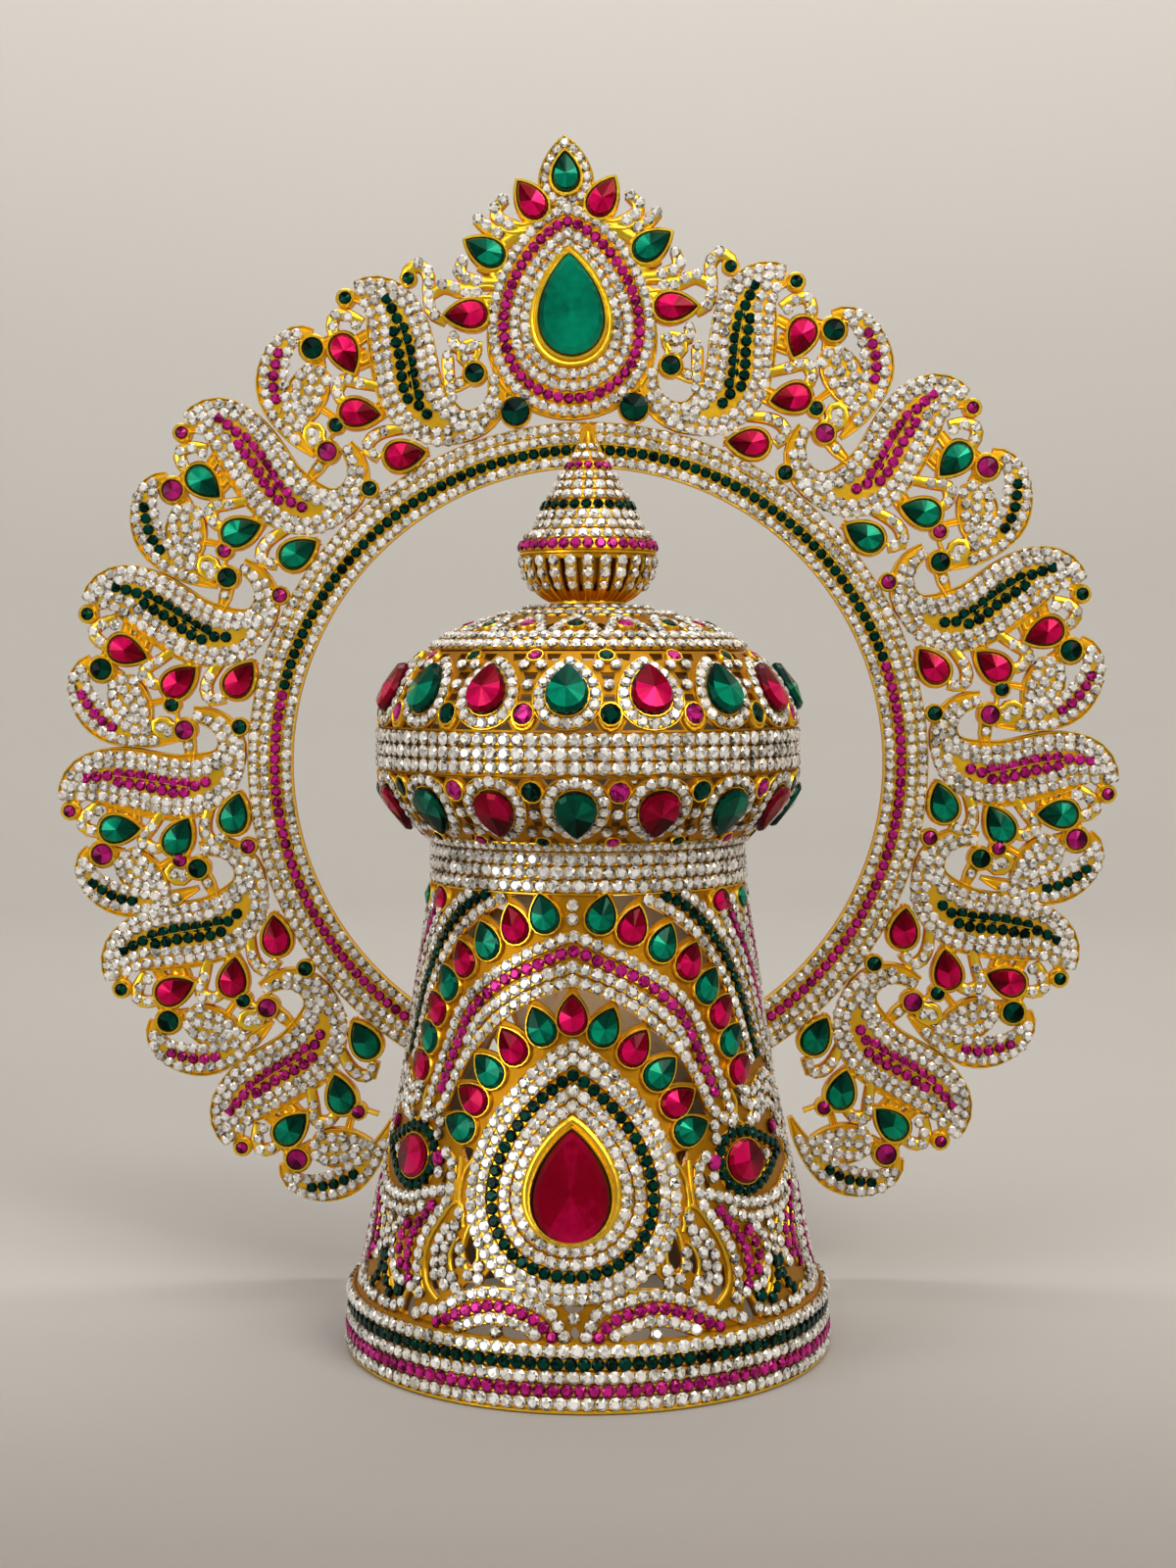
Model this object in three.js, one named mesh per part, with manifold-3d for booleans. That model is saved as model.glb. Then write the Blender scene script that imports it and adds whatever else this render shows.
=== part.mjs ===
// Deity crown: a pierced, stone-set crown body with a domed top and finial, and a flat
// round halo of swan plaques behind it. Millimetres, +Z up, the front faces -Y.
import * as THREE from 'three';
import { mergeVertices } from 'three/addons/utils/BufferGeometryUtils.js';
import Module from 'manifold-3d';

// ---------------------------------------------------------------- driving dimensions
const GAP = 0.35;            // clearance between neighbouring pieces
const WALL = 3.0;            // cast wall with its small stones
const AROUND = 24;           // facets round the crown body and the dome
const FINIAL_AROUND = 12;    // facets round the finial
const DOME_STONES = 16;      // large stones in each row of the dome
const PATTERN_TURN = -4.4;   // degrees that the crown's pattern is turned about its axis
const DOME_TURN = -4.6;      // degrees that the dome's pattern is turned
const CREST_LEAN = -2.15;    // degrees that the crest stands off the top of the halo
const SLIVER = 0.2;          // edges finer than this are merged away
const STONE_SIDES = 6;       // sides of a stone that is a piece of its own
const JOINED_SIDES = 4;      // sides of a stone that is joined to its setting
const ROOT_IN_WALL = 0.8;    // how deep a joined stone reaches into a curved wall
const ROOT_IN_PLATE = 0.25;  // the same in the halo's flat plates
const JOINED_RISE = 1.6;     // how far a joined round stone stands up
const SEAT_SIDES = 9;        // sides of a raised seat
const SETTING_SIDES = 7;     // sides of a drop-shaped setting
const DISC_SIDES = 6;        // sides of a round setting

const HALO = {
  centre: 150.6,             // height of the ring's centre
  inner: 85.8,               // ring's inner radius
  outer: 99.0,               // ring's outer radius
  end: 155,                  // degrees from the top to each end of the ring
  front: 57.4,               // front of the stone-set plates, behind the crown's axis
  back: 60.8,                // back of the plates
};

// Outer outline of the crown body: height and radius, from the rim to the collar.
const BODY_OUTLINE = [
  { z: 0, r: 65.2 }, { z: 14.6, r: 64.2 }, { z: 16.8, r: 61.4 }, { z: 69.5, r: 49.8 },
  { z: 121, r: 42.2 }, { z: 131.8, r: 41.6 },
];
const DOME_LOWER = [
  { z: 132.2, r: 43.2 }, { z: 137.5, r: 46.2 }, { z: 142.5, r: 51.6 }, { z: 152.3, r: 55.6 },
];
const DOME_BAND = [{ z: 152.7, r: 56.0 }, { z: 162.9, r: 56.0 }];
const DOME_UPPER = [
  { z: 163.3, r: 55.7 }, { z: 169.8, r: 54.4 }, { z: 176.6, r: 50.4 }, { z: 182.9, r: 43.8 },
];
const DOME_CAP = [
  { z: 183.3, r: 43.2 }, { z: 187.2, r: 38.2 }, { z: 192.2, r: 24.4 }, { z: 195.4, r: 10.0 },
];
const CUP_OUTLINE = [
  { z: 195.8, r: 10.0 }, { z: 197.2, r: 12.6 }, { z: 199.2, r: 15.2 }, { z: 202.0, r: 17.2 },
  { z: 205.4, r: 18.2 }, { z: 209.3, r: 18.6 },
];
const CONE_TIERS = [
  { z: 209.7, r: 18.7 }, { z: 211.4, r: 18.2 }, { z: 215.3, r: 15.0 }, { z: 220.8, r: 12.8 },
  { z: 229.0, r: 8.0 }, { z: 234.5, r: 4.3 }, { z: 240.8, r: 0.6 },
];

// Large stones: length along the point, width, and how far they stand up.
const STONES = {
  arch: { length: 9.8, width: 7.2, rise: 2.4 },
  medallion: { length: 26.8, width: 18.5, rise: 3.4 },
  roundel: { length: 12.4, width: 9.8, rise: 3.2 },
  dome: { length: 11.8, width: 10.2, rise: 3.6 },
  domeLower: { length: 11.8, width: 10.2, rise: 2.4 },
  plaque: { length: 11.4, width: 7.7, rise: 3.0 },
  crest: { length: 28.5, width: 18.4, rise: 4.2 },
  petal: { length: 11.8, width: 7.7, rise: 3.2 },
  topDrop: { length: 11.0, width: 7.5, rise: 3.2 },
  round: { length: 8.4, width: 8.4, rise: 3.4 },
};

// Drops of the two arches on one half of a face: degrees off the face's middle, height and
// the lean of the point away from upright.
const LOWER_ARCH = [
  { turn: 0, z: 93.6, lean: 0 }, { turn: 9.4, z: 90.6, lean: 26 },
  { turn: 18.0, z: 85.2, lean: 36 }, { turn: 25.5, z: 79.0, lean: 52 },
  { turn: 29.9, z: 71.5, lean: 62 }, { turn: 33.0, z: 64.4, lean: 72 },
];
const UPPER_ARCH = [
  { turn: 9.6, z: 117.2, lean: 17 }, { turn: 20.5, z: 114.0, lean: 24 },
  { turn: 31.0, z: 109.8, lean: 24 }, { turn: 39.9, z: 104.5, lean: 28 },
  { turn: 46.9, z: 98.2, lean: 34 }, { turn: 51.6, z: 91.4, lean: 38 },
  { turn: 54.6, z: 83.7, lean: 38 }, { turn: 56.6, z: 75.8, lean: 42 },
];
// Low openings between the medallion and the rim: corners as degrees and heights.
const LOW_OPENINGS = [
  [{ turn: 10.9, z: 16.9 }, { turn: 16.2, z: 16.9 }, { turn: 16.2, z: 19.0 }],
  [{ turn: 19.2, z: 16.9 }, { turn: 24.6, z: 16.9 }, { turn: 19.2, z: 19.2 }],
  [{ turn: 16.4, z: 28.9 }, { turn: 21.4, z: 28.9 }, { turn: 20.6, z: 31.9 }],
  [{ turn: 23.6, z: 34.0 }, { turn: 25.4, z: 34.0 }, { turn: 25.6, z: 39.2 }],
];
// The big stones of each face and the raised seats that carry them.
const MEDALLION = { turn: 0, z: 52.4, lean: 0, seat: 0.6, rim: 1.7 };
const ROUNDEL = { turn: 55.0, z: 55.4, lean: 90, seat: 0.5, rim: 1.1 };
const SEAT_ROOT = 2.0;       // how deep a seat reaches into the wall

// One halo plaque. Positions are degrees past the swan's beak and radii from the ring's
// centre; half is half the width of the stroke there.
const SWAN_BODY = [
  { turn: -13.2, r: 119.8, half: 1.4 }, { turn: -14.3, r: 112.0, half: 2.6 },
  { turn: -12.0, r: 105.6, half: 3.6 }, { turn: -8.0, r: 104.0, half: 5.2 },
  { turn: -3.8, r: 109.4, half: 8.3 }, { turn: -2.2, r: 121.0, half: 9.4 },
  { turn: -3.6, r: 134.0, half: 9.1 }, { turn: -4.0, r: 145.0, half: 7.4 },
  { turn: -0.7, r: 152.8, half: 2.6 },
];
const SMALL_SWAN = [
  { turn: 4.2, r: 142.0, half: 2.2 }, { turn: 7.8, r: 150.0, half: 3.2 },
  { turn: 12.0, r: 145.8, half: 4.8 }, { turn: 14.4, r: 137.0, half: 4.6 },
  { turn: 14.9, r: 128.0, half: 2.8 }, { turn: 14.4, r: 119.4, half: 0.9 },
];
const WING = [
  { turn: 6.4, r: 137.0, half: 3.8 }, { turn: 9.6, r: 135.4, half: 6.1 },
  { turn: 14.0, r: 131.8, half: 4.6 },
];
const TWIGS = [
  [{ turn: -1.4, r: 143.5, half: 1.5 }, { turn: 1.5, r: 148.2, half: 1.7 },
    { turn: 3.0, r: 142.6, half: 1.6 }],
  [{ turn: 0.8, r: 124.5, half: 1.5 }, { turn: 5.4, r: 131.0, half: 1.8 },
    { turn: 6.4, r: 125.4, half: 1.6 }],
  [{ turn: 0.0, r: 110.5, half: 1.6 }, { turn: 6.6, r: 112.8, half: 1.9 },
    { turn: 6.2, r: 106.6, half: 1.8 }],
];
const LEAF = [{ turn: -10.4, r: 116.4, half: 1.7 }, { turn: -6.4, r: 115.2, half: 1.2 }];
const HOOK = [{ turn: -12.6, r: 123.6, half: 1.5 }, { turn: -10.4, r: 119.6, half: 1.6 }];
const DISCS = [
  { turn: 0, r: 151.1, radius: 2.9 }, { turn: -11.6, r: 117.4, radius: 3.8 },
];
const OUTER_DISCS = [
  { turn: 6.15, r: 143.6, radius: 4.3 }, { turn: 9.1, r: 121.8, radius: 2.8 },
];
const BASE_DISC = { turn: -13.1, r: 101.6, radius: 2.5 };
const PLAQUE_STONES = [
  { turn: 3.15, r: 137.2, lean: 174 }, { turn: 5.6, r: 120.6, lean: 232 },
  { turn: 3.2, r: 104.3, lean: 248 },
];
const ROUND_STONES = [
  { turn: 0, r: 151.1, radius: 1.7 }, { turn: -11.6, r: 117.4, radius: 2.6 },
  { turn: 6.15, r: 143.6, radius: 3.0 },
];
// Degrees from the top to each swan's beak, from the crest down to the ring's end.
const BEAKS = {
  left: [27.45, 50.7, 73.2, 95.1, 115.7, 137.9],
  right: [23.3, 47.1, 70.9, 93.2, 114.4, 136.9],
};
const FULL_PITCH = 23.8;     // pitch at which the plaque's angles above are true
const LAST_PITCH = 22.0;     // pitch of the last plaque on each side
const CREST_PETALS = [
  { name: 'upper', turn: 3.75, r: 162.8, lean: 28 },
  { name: 'middle', turn: 9.2, r: 150.4, lean: 50 },
  { name: 'lower', turn: 13.0, r: 134.0, lean: 78 },
];
const CREST_MEDALLION = { r: 130.4, length: 61.4, width: 48.8 };
const CREST_TOP = { r: 170.2, length: 21.0, width: 15.8 };
const CREST_DROP = { r: 132.0 };
const CREST_TOP_DROP = { r: 169.9 };
const CREST_ROUND = { turn: 9.45, r: 103.9, radius: 4.4 };
const CREST_CURL = [
  { turn: 15.2, r: 133.8, half: 1.5 }, { turn: 17.0, r: 139.0, half: 1.7 },
  { turn: 15.9, r: 147.6, half: 2.2 }, { turn: 17.0, r: 151.8, half: 2.2 },
  { turn: 18.3, r: 148.6, half: 2.2 },
];
const CREST_TWIGS = [
  [{ turn: 9.0, r: 142.6, half: 2.2 }, { turn: 12.6, r: 143.4, half: 3.6 },
    { turn: 16.0, r: 142.6, half: 1.9 }],
  [{ turn: 5.4, r: 155.4, half: 2.0 }, { turn: 7.0, r: 158.2, half: 3.6 },
    { turn: 8.4, r: 159.6, half: 2.4 }],
];
const CREST_STEMS = [
  [{ turn: 3.4, r: 156.6, half: 2.2 }, { turn: 6.6, r: 151.4, half: 3.4 }],
  [{ turn: 9.0, r: 137.0, half: 4.4 }, { turn: 11.4, r: 133.4, half: 4.6 }],
  [{ turn: 8.2, r: 143.6, half: 3.6 }, { turn: 8.8, r: 149.0, half: 3.2 }],
];
const BRACKET = { foot: 39.3, head: 43.5, z: 66, width: 7.5, height: 8 };

// ---------------------------------------------------------------- materials
const GOLD = new THREE.Color(0.83, 0.58, 0.14);
const makeGold = () => new THREE.MeshStandardMaterial({ color: GOLD, metalness: 1, roughness: 0.3 });
const makeGlass = (colour) => new THREE.MeshStandardMaterial({
  color: colour, metalness: 0.1, roughness: 0.06,
});
const GREEN = new THREE.Color(0.0, 0.32, 0.18);
const MAGENTA = new THREE.Color(0.62, 0.0, 0.26);
const DARK_GREEN = new THREE.Color(0.0, 0.06, 0.03);

// ---------------------------------------------------------------- solids and booleans
const wasm = await Module();
wasm.setup();

const radians = THREE.MathUtils.degToRad;

/** A closed three.js geometry as a solid, with its faces pointing out. */
function solid(geometry) {
  const bare = geometry.clone();
  bare.deleteAttribute('normal');
  bare.deleteAttribute('uv');
  const merged = mergeVertices(bare, 1e-4);
  const vertProperties = Float32Array.from(merged.attributes.position.array);
  const triVerts = Uint32Array.from(merged.index.array);
  const shape = new wasm.Manifold(new wasm.Mesh({ numProp: 3, vertProperties, triVerts }));
  if (shape.volume() > 0) return shape;
  for (let i = 0; i < triVerts.length; i += 3) {
    [triVerts[i], triVerts[i + 1]] = [triVerts[i + 1], triVerts[i]];
  }
  return new wasm.Manifold(new wasm.Mesh({ numProp: 3, vertProperties, triVerts }));
}

const join = (shapes) => shapes.reduce((total, shape) => total.add(shape));
const cut = (shape, cutters) => cutters.reduce((rest, cutter) => rest.subtract(cutter), shape);

/** A solid as a named mesh. Slivers under the tolerance are merged away first. */
function mesh(name, shape, material) {
  const result = shape.asOriginal().simplify(SLIVER).getMesh();
  const geometry = new THREE.BufferGeometry();
  const positions = new Float32Array(result.numVert * 3);
  for (let i = 0; i < result.numVert; i += 1) {
    for (let axis = 0; axis < 3; axis += 1) {
      positions[i * 3 + axis] = result.vertProperties[i * result.numProp + axis];
    }
  }
  geometry.setAttribute('position', new THREE.BufferAttribute(positions, 3));
  geometry.setIndex(new THREE.BufferAttribute(Uint32Array.from(result.triVerts), 1));
  geometry.computeVertexNormals();
  const object = new THREE.Mesh(geometry, material);
  object.name = name;
  return object;
}

/** A solid between rings of points with equal counts, its top flat or drawn to a tip. */
function loft(rings, tip = null) {
  const count = rings[0].length;
  const points = tip ? [...rings.flat(), tip] : rings.flat();
  const positions = points.flatMap((point) => [point.x, point.y, point.z]);
  const index = [];
  for (let ring = 0; ring + 1 < rings.length; ring += 1) {
    for (let i = 0; i < count; i += 1) {
      const next = (i + 1) % count;
      const low = ring * count;
      const high = low + count;
      index.push(low + i, low + next, high + next, low + i, high + next, high + i);
    }
  }
  const last = (rings.length - 1) * count;
  for (let i = 1; i + 1 < count; i += 1) {
    index.push(0, i + 1, i);
    if (!tip) index.push(last, last + i, last + i + 1);
  }
  for (let i = 0; tip && i < count; i += 1) {
    index.push(last + i, last + ((i + 1) % count), last + count);
  }
  const geometry = new THREE.BufferGeometry();
  geometry.setAttribute('position', new THREE.Float32BufferAttribute(positions, 3));
  geometry.setIndex(index);
  return solid(geometry);
}

// ---------------------------------------------------------------- outlines
/** Drop outline about its middle, its point towards +y. */
function dropOutline(length, width, sides) {
  const waist = (t) => Math.sin(t) * Math.sin(t / 2) ** 0.7;
  const widest = waist(radians(104));
  return Array.from({ length: sides }, (_, i) => {
    const t = (i / sides) * 2 * Math.PI;
    return new THREE.Vector2((width / 2) * (waist(t) / widest), (length / 2) * Math.cos(t));
  });
}

function ovalOutline(length, width, sides) {
  return Array.from({ length: sides }, (_, i) => {
    const t = (i / sides) * 2 * Math.PI;
    return new THREE.Vector2((width / 2) * Math.sin(t), (length / 2) * Math.cos(t));
  });
}

// ---------------------------------------------------------------- turned pieces
/** A turned solid from a closed or axis-to-axis outline of {z, r}. */
function turned(outline, around) {
  const points = outline.map(({ z, r }) => new THREE.Vector2(r, z));
  const geometry = new THREE.LatheGeometry(points, around);
  geometry.rotateX(Math.PI / 2);
  return solid(geometry);
}

/** A turned wall of even thickness inside an outer outline. */
function turnedWall(outer, thickness, around) {
  const inner = outer.map(({ z, r }) => ({ z, r: r - thickness })).reverse();
  return turned([...outer, ...inner, outer[0]], around);
}

/** Radius of an outline at a height. */
function radiusAt(outline, z) {
  const upper = outline.findIndex((row) => row.z >= z);
  const top = outline[Math.max(upper, 1)];
  const bottom = outline[Math.max(upper, 1) - 1];
  const share = (z - bottom.z) / (top.z - bottom.z);
  return bottom.r + (top.r - bottom.r) * share;
}

/** Point on a turned surface: degrees from the front, height, and distance above it. */
function turnedPoint(outline, turn, z, above = 0) {
  const radius = radiusAt(outline, z) + above;
  return new THREE.Vector3(radius * Math.sin(radians(turn)), -radius * Math.cos(radians(turn)), z);
}

/** Frame on a turned surface: x across, y up the surface, z outwards. */
function turnedFrame(outline, turn, z, lean = 0) {
  const origin = turnedPoint(outline, turn, z);
  const up = turnedPoint(outline, turn, z + 2).sub(turnedPoint(outline, turn, z - 2)).normalize();
  const across = new THREE.Vector3(Math.cos(radians(turn)), Math.sin(radians(turn)), 0);
  const out = new THREE.Vector3().crossVectors(across, up);
  const frame = new THREE.Matrix4().makeBasis(across, up, out).setPosition(origin);
  return frame.multiply(new THREE.Matrix4().makeRotationZ(-radians(lean)));
}

/** Frame on the halo's front: x across, y away from the ring's centre, z forwards. */
function haloFrame(turn, r, lean = 0) {
  const angle = radians(turn);
  const across = new THREE.Vector3(Math.cos(angle), 0, -Math.sin(angle));
  const outward = new THREE.Vector3(Math.sin(angle), 0, Math.cos(angle));
  const forward = new THREE.Vector3(0, -1, 0);
  const frame = new THREE.Matrix4().makeBasis(across, outward, forward);
  frame.setPosition(r * outward.x, HALO.front, HALO.centre + r * outward.z);
  return frame.multiply(new THREE.Matrix4().makeRotationZ(-radians(lean)));
}

/** A cut stone in a frame: a girdle sunk by `sunk` and a smaller table on top. */
function stone(frame, outline, rise, sunk, table = 0.45) {
  const ring = (scale, height) => outline.map(
    ({ x, y }) => new THREE.Vector3(x * scale, y * scale, height).applyMatrix4(frame),
  );
  return loft([ring(1, sunk), ring(table, rise)]);
}

const dropStone = ({ length, width, rise }, frame, sunk) => stone(
  frame, dropOutline(length, width, STONE_SIDES), rise, sunk,
);
const ovalStone = ({ length, width, rise }, frame, sunk) => stone(
  frame, ovalOutline(length, width, STONE_SIDES), rise, sunk,
);

/** A raised flat seat for a big stone, a rim wider than the stone all round. */
function seat(frame, { length, width }, outlineOf, { seat: height, rim }) {
  const outline = outlineOf(length + 2 * rim, width + 2 * rim, SEAT_SIDES);
  const ring = (above) => outline.map(
    ({ x, y }) => new THREE.Vector3(x, y, above).applyMatrix4(frame),
  );
  return loft([ring(-SEAT_ROOT), ring(height)]);
}

/** A stone joined to its setting: a low pyramid that is rooted in the metal. */
function joinedStone({ length, width, rise }, frame, outlineOf, depth) {
  const flare = (rise + depth) / rise;
  const root = outlineOf(length * flare, width * flare, JOINED_SIDES)
    .map(({ x, y }) => new THREE.Vector3(x, y, -depth).applyMatrix4(frame));
  return loft([root], new THREE.Vector3(0, 0, rise).applyMatrix4(frame));
}

// ---------------------------------------------------------------- flat halo pieces
/** Point of the halo in its own plane, x to the right and y up. */
const haloPoint = (turn, r) => new THREE.Vector2(
  r * Math.sin(radians(turn)), HALO.centre + r * Math.cos(radians(turn)),
);

/** A plate of the halo from an outline in its plane. */
function plate(outline, front = HALO.front, back = HALO.back) {
  const geometry = new THREE.ExtrudeGeometry(new THREE.Shape(outline), {
    depth: back - front, bevelEnabled: false, steps: 1,
  });
  geometry.rotateX(Math.PI / 2);
  geometry.translate(0, back, 0);
  return solid(geometry);
}

/** Outline of a stroke along rows of {point, half}, grown by `grow` all round. */
function strokeOutline(rows, grow) {
  const left = [];
  const right = [];
  rows.forEach(({ point, half }, i) => {
    const before = rows[Math.max(i - 1, 0)].point;
    const after = rows[Math.min(i + 1, rows.length - 1)].point;
    const along = after.clone().sub(before).normalize();
    const across = new THREE.Vector2(-along.y, along.x).multiplyScalar(half + grow);
    const end = point.clone();
    if (i === 0) end.addScaledVector(along, -grow);
    if (i === rows.length - 1) end.addScaledVector(along, grow);
    left.push(end.clone().add(across));
    right.unshift(end.clone().sub(across));
  });
  return [...left, ...right];
}

/** Places the rows of one plaque: side is -1 or 1, spread fits them to its pitch. */
class Place {
  constructor(side, beak, spread) {
    this.side = side;
    this.beak = beak;
    this.spread = spread;
  }

  turn(turn) {
    return this.side * (this.beak + turn * this.spread);
  }

  stroke(rows, grow = 0) {
    const placed = rows.map(({ turn, r, half }) => (
      { point: haloPoint(this.turn(turn), r), half }));
    return plate(strokeOutline(placed, grow));
  }

  disc({ turn, r, radius }, grow = 0, sides = DISC_SIDES) {
    const middle = haloPoint(this.turn(turn), r);
    const outline = ovalOutline(2 * (radius + grow), 2 * (radius + grow), sides);
    return plate(outline.map((point) => point.add(middle)));
  }

  setting({ turn, r, lean }, { length, width }, rim = 1.2) {
    const angle = this.turn(turn) + this.side * lean;
    const middle = haloPoint(this.turn(turn), r);
    const spin = (point) => point.rotateAround(new THREE.Vector2(), -radians(angle)).add(middle);
    return plate(dropOutline(length + 2.4 * rim, width + 2 * rim, SETTING_SIDES).map(spin));
  }

  drop({ turn, r, lean }, size) {
    return dropStone(size, haloFrame(this.turn(turn), r, this.side * lean), GAP);
  }

  joinedDrop({ turn, r, lean }, size) {
    const frame = haloFrame(this.turn(turn), r, this.side * lean);
    return joinedStone(size, frame, dropOutline, ROOT_IN_PLATE);
  }

  joinedRound({ turn, r, radius }) {
    const size = { length: 2 * radius, width: 2 * radius, rise: JOINED_RISE };
    return joinedStone(size, haloFrame(this.turn(turn), r), ovalOutline, ROOT_IN_PLATE);
  }
}

/** The six places of one side, each fitted between its beak and the next. */
function sidePlaces(beaks, side) {
  return beaks.map((beak, i) => {
    const pitch = i + 1 < beaks.length ? beaks[i + 1] - beak : LAST_PITCH;
    return new Place(side, beak, pitch / FULL_PITCH);
  });
}
const places = { left: sidePlaces(BEAKS.left, -1), right: sidePlaces(BEAKS.right, 1) };
const crestPlaces = [new Place(-1, -CREST_LEAN, 1), new Place(1, CREST_LEAN, 1)];

/** The swan, its head, eye and leaf: everything that the neighbour has to clear. */
function swan(place, grow = 0) {
  const strokes = [SWAN_BODY, LEAF, HOOK].map((rows) => place.stroke(rows, grow));
  return join([...strokes, ...DISCS.map((disc) => place.disc(disc, grow))]);
}

/** What the plaques are cut back to, so that they stand clear of the ring. */
function ringClearance() {
  const sides = 60;
  const across = (2 * (HALO.outer + GAP)) / Math.cos(Math.PI / sides);
  const middle = haloPoint(0, 0);
  const outline = ovalOutline(across, across, sides).map((point) => point.add(middle));
  return plate(outline, HALO.front - 1, HALO.back + 1);
}

/** One plaque with its swan, stones and small swan, cleared of the next swan. */
function plaque(sideName, i) {
  const place = places[sideName][i];
  const next = places[sideName][i + 1];
  const body = [swan(place)];
  if (i > 0) body.push(place.disc(BASE_DISC));
  const outer = join([
    place.stroke(SMALL_SWAN), place.stroke(WING),
    ...TWIGS.map((rows) => place.stroke(rows)),
    ...OUTER_DISCS.map((disc) => place.disc(disc)),
    ...PLAQUE_STONES.map((row) => place.setting(row, STONES.plaque)),
  ]);
  const clearance = next ? [swan(next, GAP), next.disc(BASE_DISC, GAP)] : [];
  let shape = cut(join([...body, cut(outer, clearance)]), [ringClearance()]);
  if (i === 0) {
    const crestSide = crestPlaces[sideName === 'left' ? 0 : 1];
    shape = cut(shape, [crestSide.disc(CREST_ROUND, GAP)]);
  }
  const stones = [
    ...PLAQUE_STONES.map((row) => place.joinedDrop(row, STONES.plaque)),
    ...ROUND_STONES.map((row) => place.joinedRound(row)),
  ];
  return join([shape, ...stones]);
}

/** Outline of an upright crest piece about the lean of the crest. */
function crestDrop(piece, grow = 0, sides = 24) {
  const middle = haloPoint(CREST_LEAN, piece.r);
  const spin = (point) => point.rotateAround(new THREE.Vector2(), -radians(CREST_LEAN)).add(middle);
  return dropOutline(piece.length + 2 * grow, piece.width + 2 * grow, sides).map(spin);
}

/** The crest's plate, cleared of the first swan on each side and of its round stones. */
function crest() {
  const sides = crestPlaces.flatMap((place) => [
    ...CREST_PETALS.map((row) => place.setting(row, STONES.petal)),
    place.disc(CREST_ROUND), place.stroke(CREST_CURL), ...CREST_TWIGS.map((rows) => place.stroke(rows)),
    ...CREST_STEMS.map((rows) => place.stroke(rows)),
  ]);
  const middle = [plate(crestDrop(CREST_MEDALLION)), plate(crestDrop(CREST_TOP, 0, 14))];
  const clearance = [
    swan(places.left[0], GAP), swan(places.right[0], GAP), ringClearance(),
  ];
  return cut(join([...middle, ...sides]), clearance);
}

/** Half of the ring, from the seam at the top to its end behind the crown. */
function ringHalf(side) {
  const steps = 20;
  const start = 0.12;
  const turns = Array.from({ length: steps + 1 }, (_, i) => start + (i / steps) * (HALO.end - start));
  const outer = turns.map((turn) => haloPoint(side * turn, HALO.outer));
  const inner = turns.map((turn) => haloPoint(side * turn, HALO.inner)).reverse();
  return plate([...outer, ...inner]);
}

// ---------------------------------------------------------------- crown body
/** An opening through the wall from corners on the body's surface. */
function opening(corners, face) {
  const ring = (above) => corners.map(({ turn, z }) => turnedPoint(BODY_OUTLINE, turn + face, z, above));
  return loft([ring(-WALL - 2), ring(2)]);
}

/** Openings between neighbouring drops, on the side where their points are. */
function archOpenings(rows, side, face) {
  const tip = ({ turn, z, lean }) => {
    const degrees = THREE.MathUtils.radToDeg(1 / radiusAt(BODY_OUTLINE, z));
    const reach = STONES.arch.length / 2 + 0.9;
    return {
      turn: turn + reach * Math.sin(radians(lean)) * degrees, z: z + reach * Math.cos(radians(lean)),
    };
  };
  const between = (a, b, share) => ({
    turn: a.turn + (b.turn - a.turn) * share, z: a.z + (b.z - a.z) * share,
  });
  return rows.slice(1).map((row, i) => {
    const before = rows[i];
    const [from, to] = [tip(before), tip(row)];
    const notch = between(between(before, row, 0.5), between(from, to, 0.5), 0.3);
    const corners = [between(from, to, 0.16), between(from, to, 0.84), notch];
    return opening(corners.map(({ turn, z }) => ({ turn: side * turn, z })), face);
  });
}

const FACES = [PATTERN_TURN, PATTERN_TURN + 180];
const SIDES = { left: -1, right: 1 };
const medallionFrame = (face) => turnedFrame(BODY_OUTLINE, face, MEDALLION.z, MEDALLION.lean);
const roundelFrame = (face, side) => turnedFrame(
  BODY_OUTLINE, face + side * ROUNDEL.turn, ROUNDEL.z, ROUNDEL.lean,
);

function crownBody() {
  const wall = turnedWall(BODY_OUTLINE, WALL, AROUND);
  const holes = [];
  const raised = [];
  for (const face of FACES) {
    raised.push(seat(medallionFrame(face), STONES.medallion, dropOutline, MEDALLION));
    for (const side of Object.values(SIDES)) {
      raised.push(seat(roundelFrame(face, side), STONES.roundel, ovalOutline, ROUNDEL));
      holes.push(...archOpenings(LOWER_ARCH, side, face), ...archOpenings(UPPER_ARCH, side, face));
      for (const corners of LOW_OPENINGS) {
        holes.push(opening(corners.map(({ turn, z }) => ({ turn: side * turn, z })), face));
      }
      for (const { turn, z, lean } of [...LOWER_ARCH.slice(side > 0 ? 0 : 1), ...UPPER_ARCH]) {
        const frame = turnedFrame(BODY_OUTLINE, face + side * turn, z, side * lean);
        raised.push(joinedStone(STONES.arch, frame, dropOutline, ROOT_IN_WALL));
      }
    }
  }
  return join([cut(wall, holes), ...raised]);
}

// ---------------------------------------------------------------- dome and finial
const domeTurn = (i) => DOME_TURN + (i * 360) / DOME_STONES;

/** The lower dome ring carries its row of stones, joined to it. */
function domeLower() {
  const wall = turnedWall(DOME_LOWER, WALL, AROUND);
  const drops = Array.from({ length: DOME_STONES }, (_, i) => joinedStone(
    STONES.domeLower, turnedFrame(DOME_LOWER, domeTurn(i), 142.8, 180), dropOutline, ROOT_IN_WALL,
  ));
  return join([wall, ...drops]);
}

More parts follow.
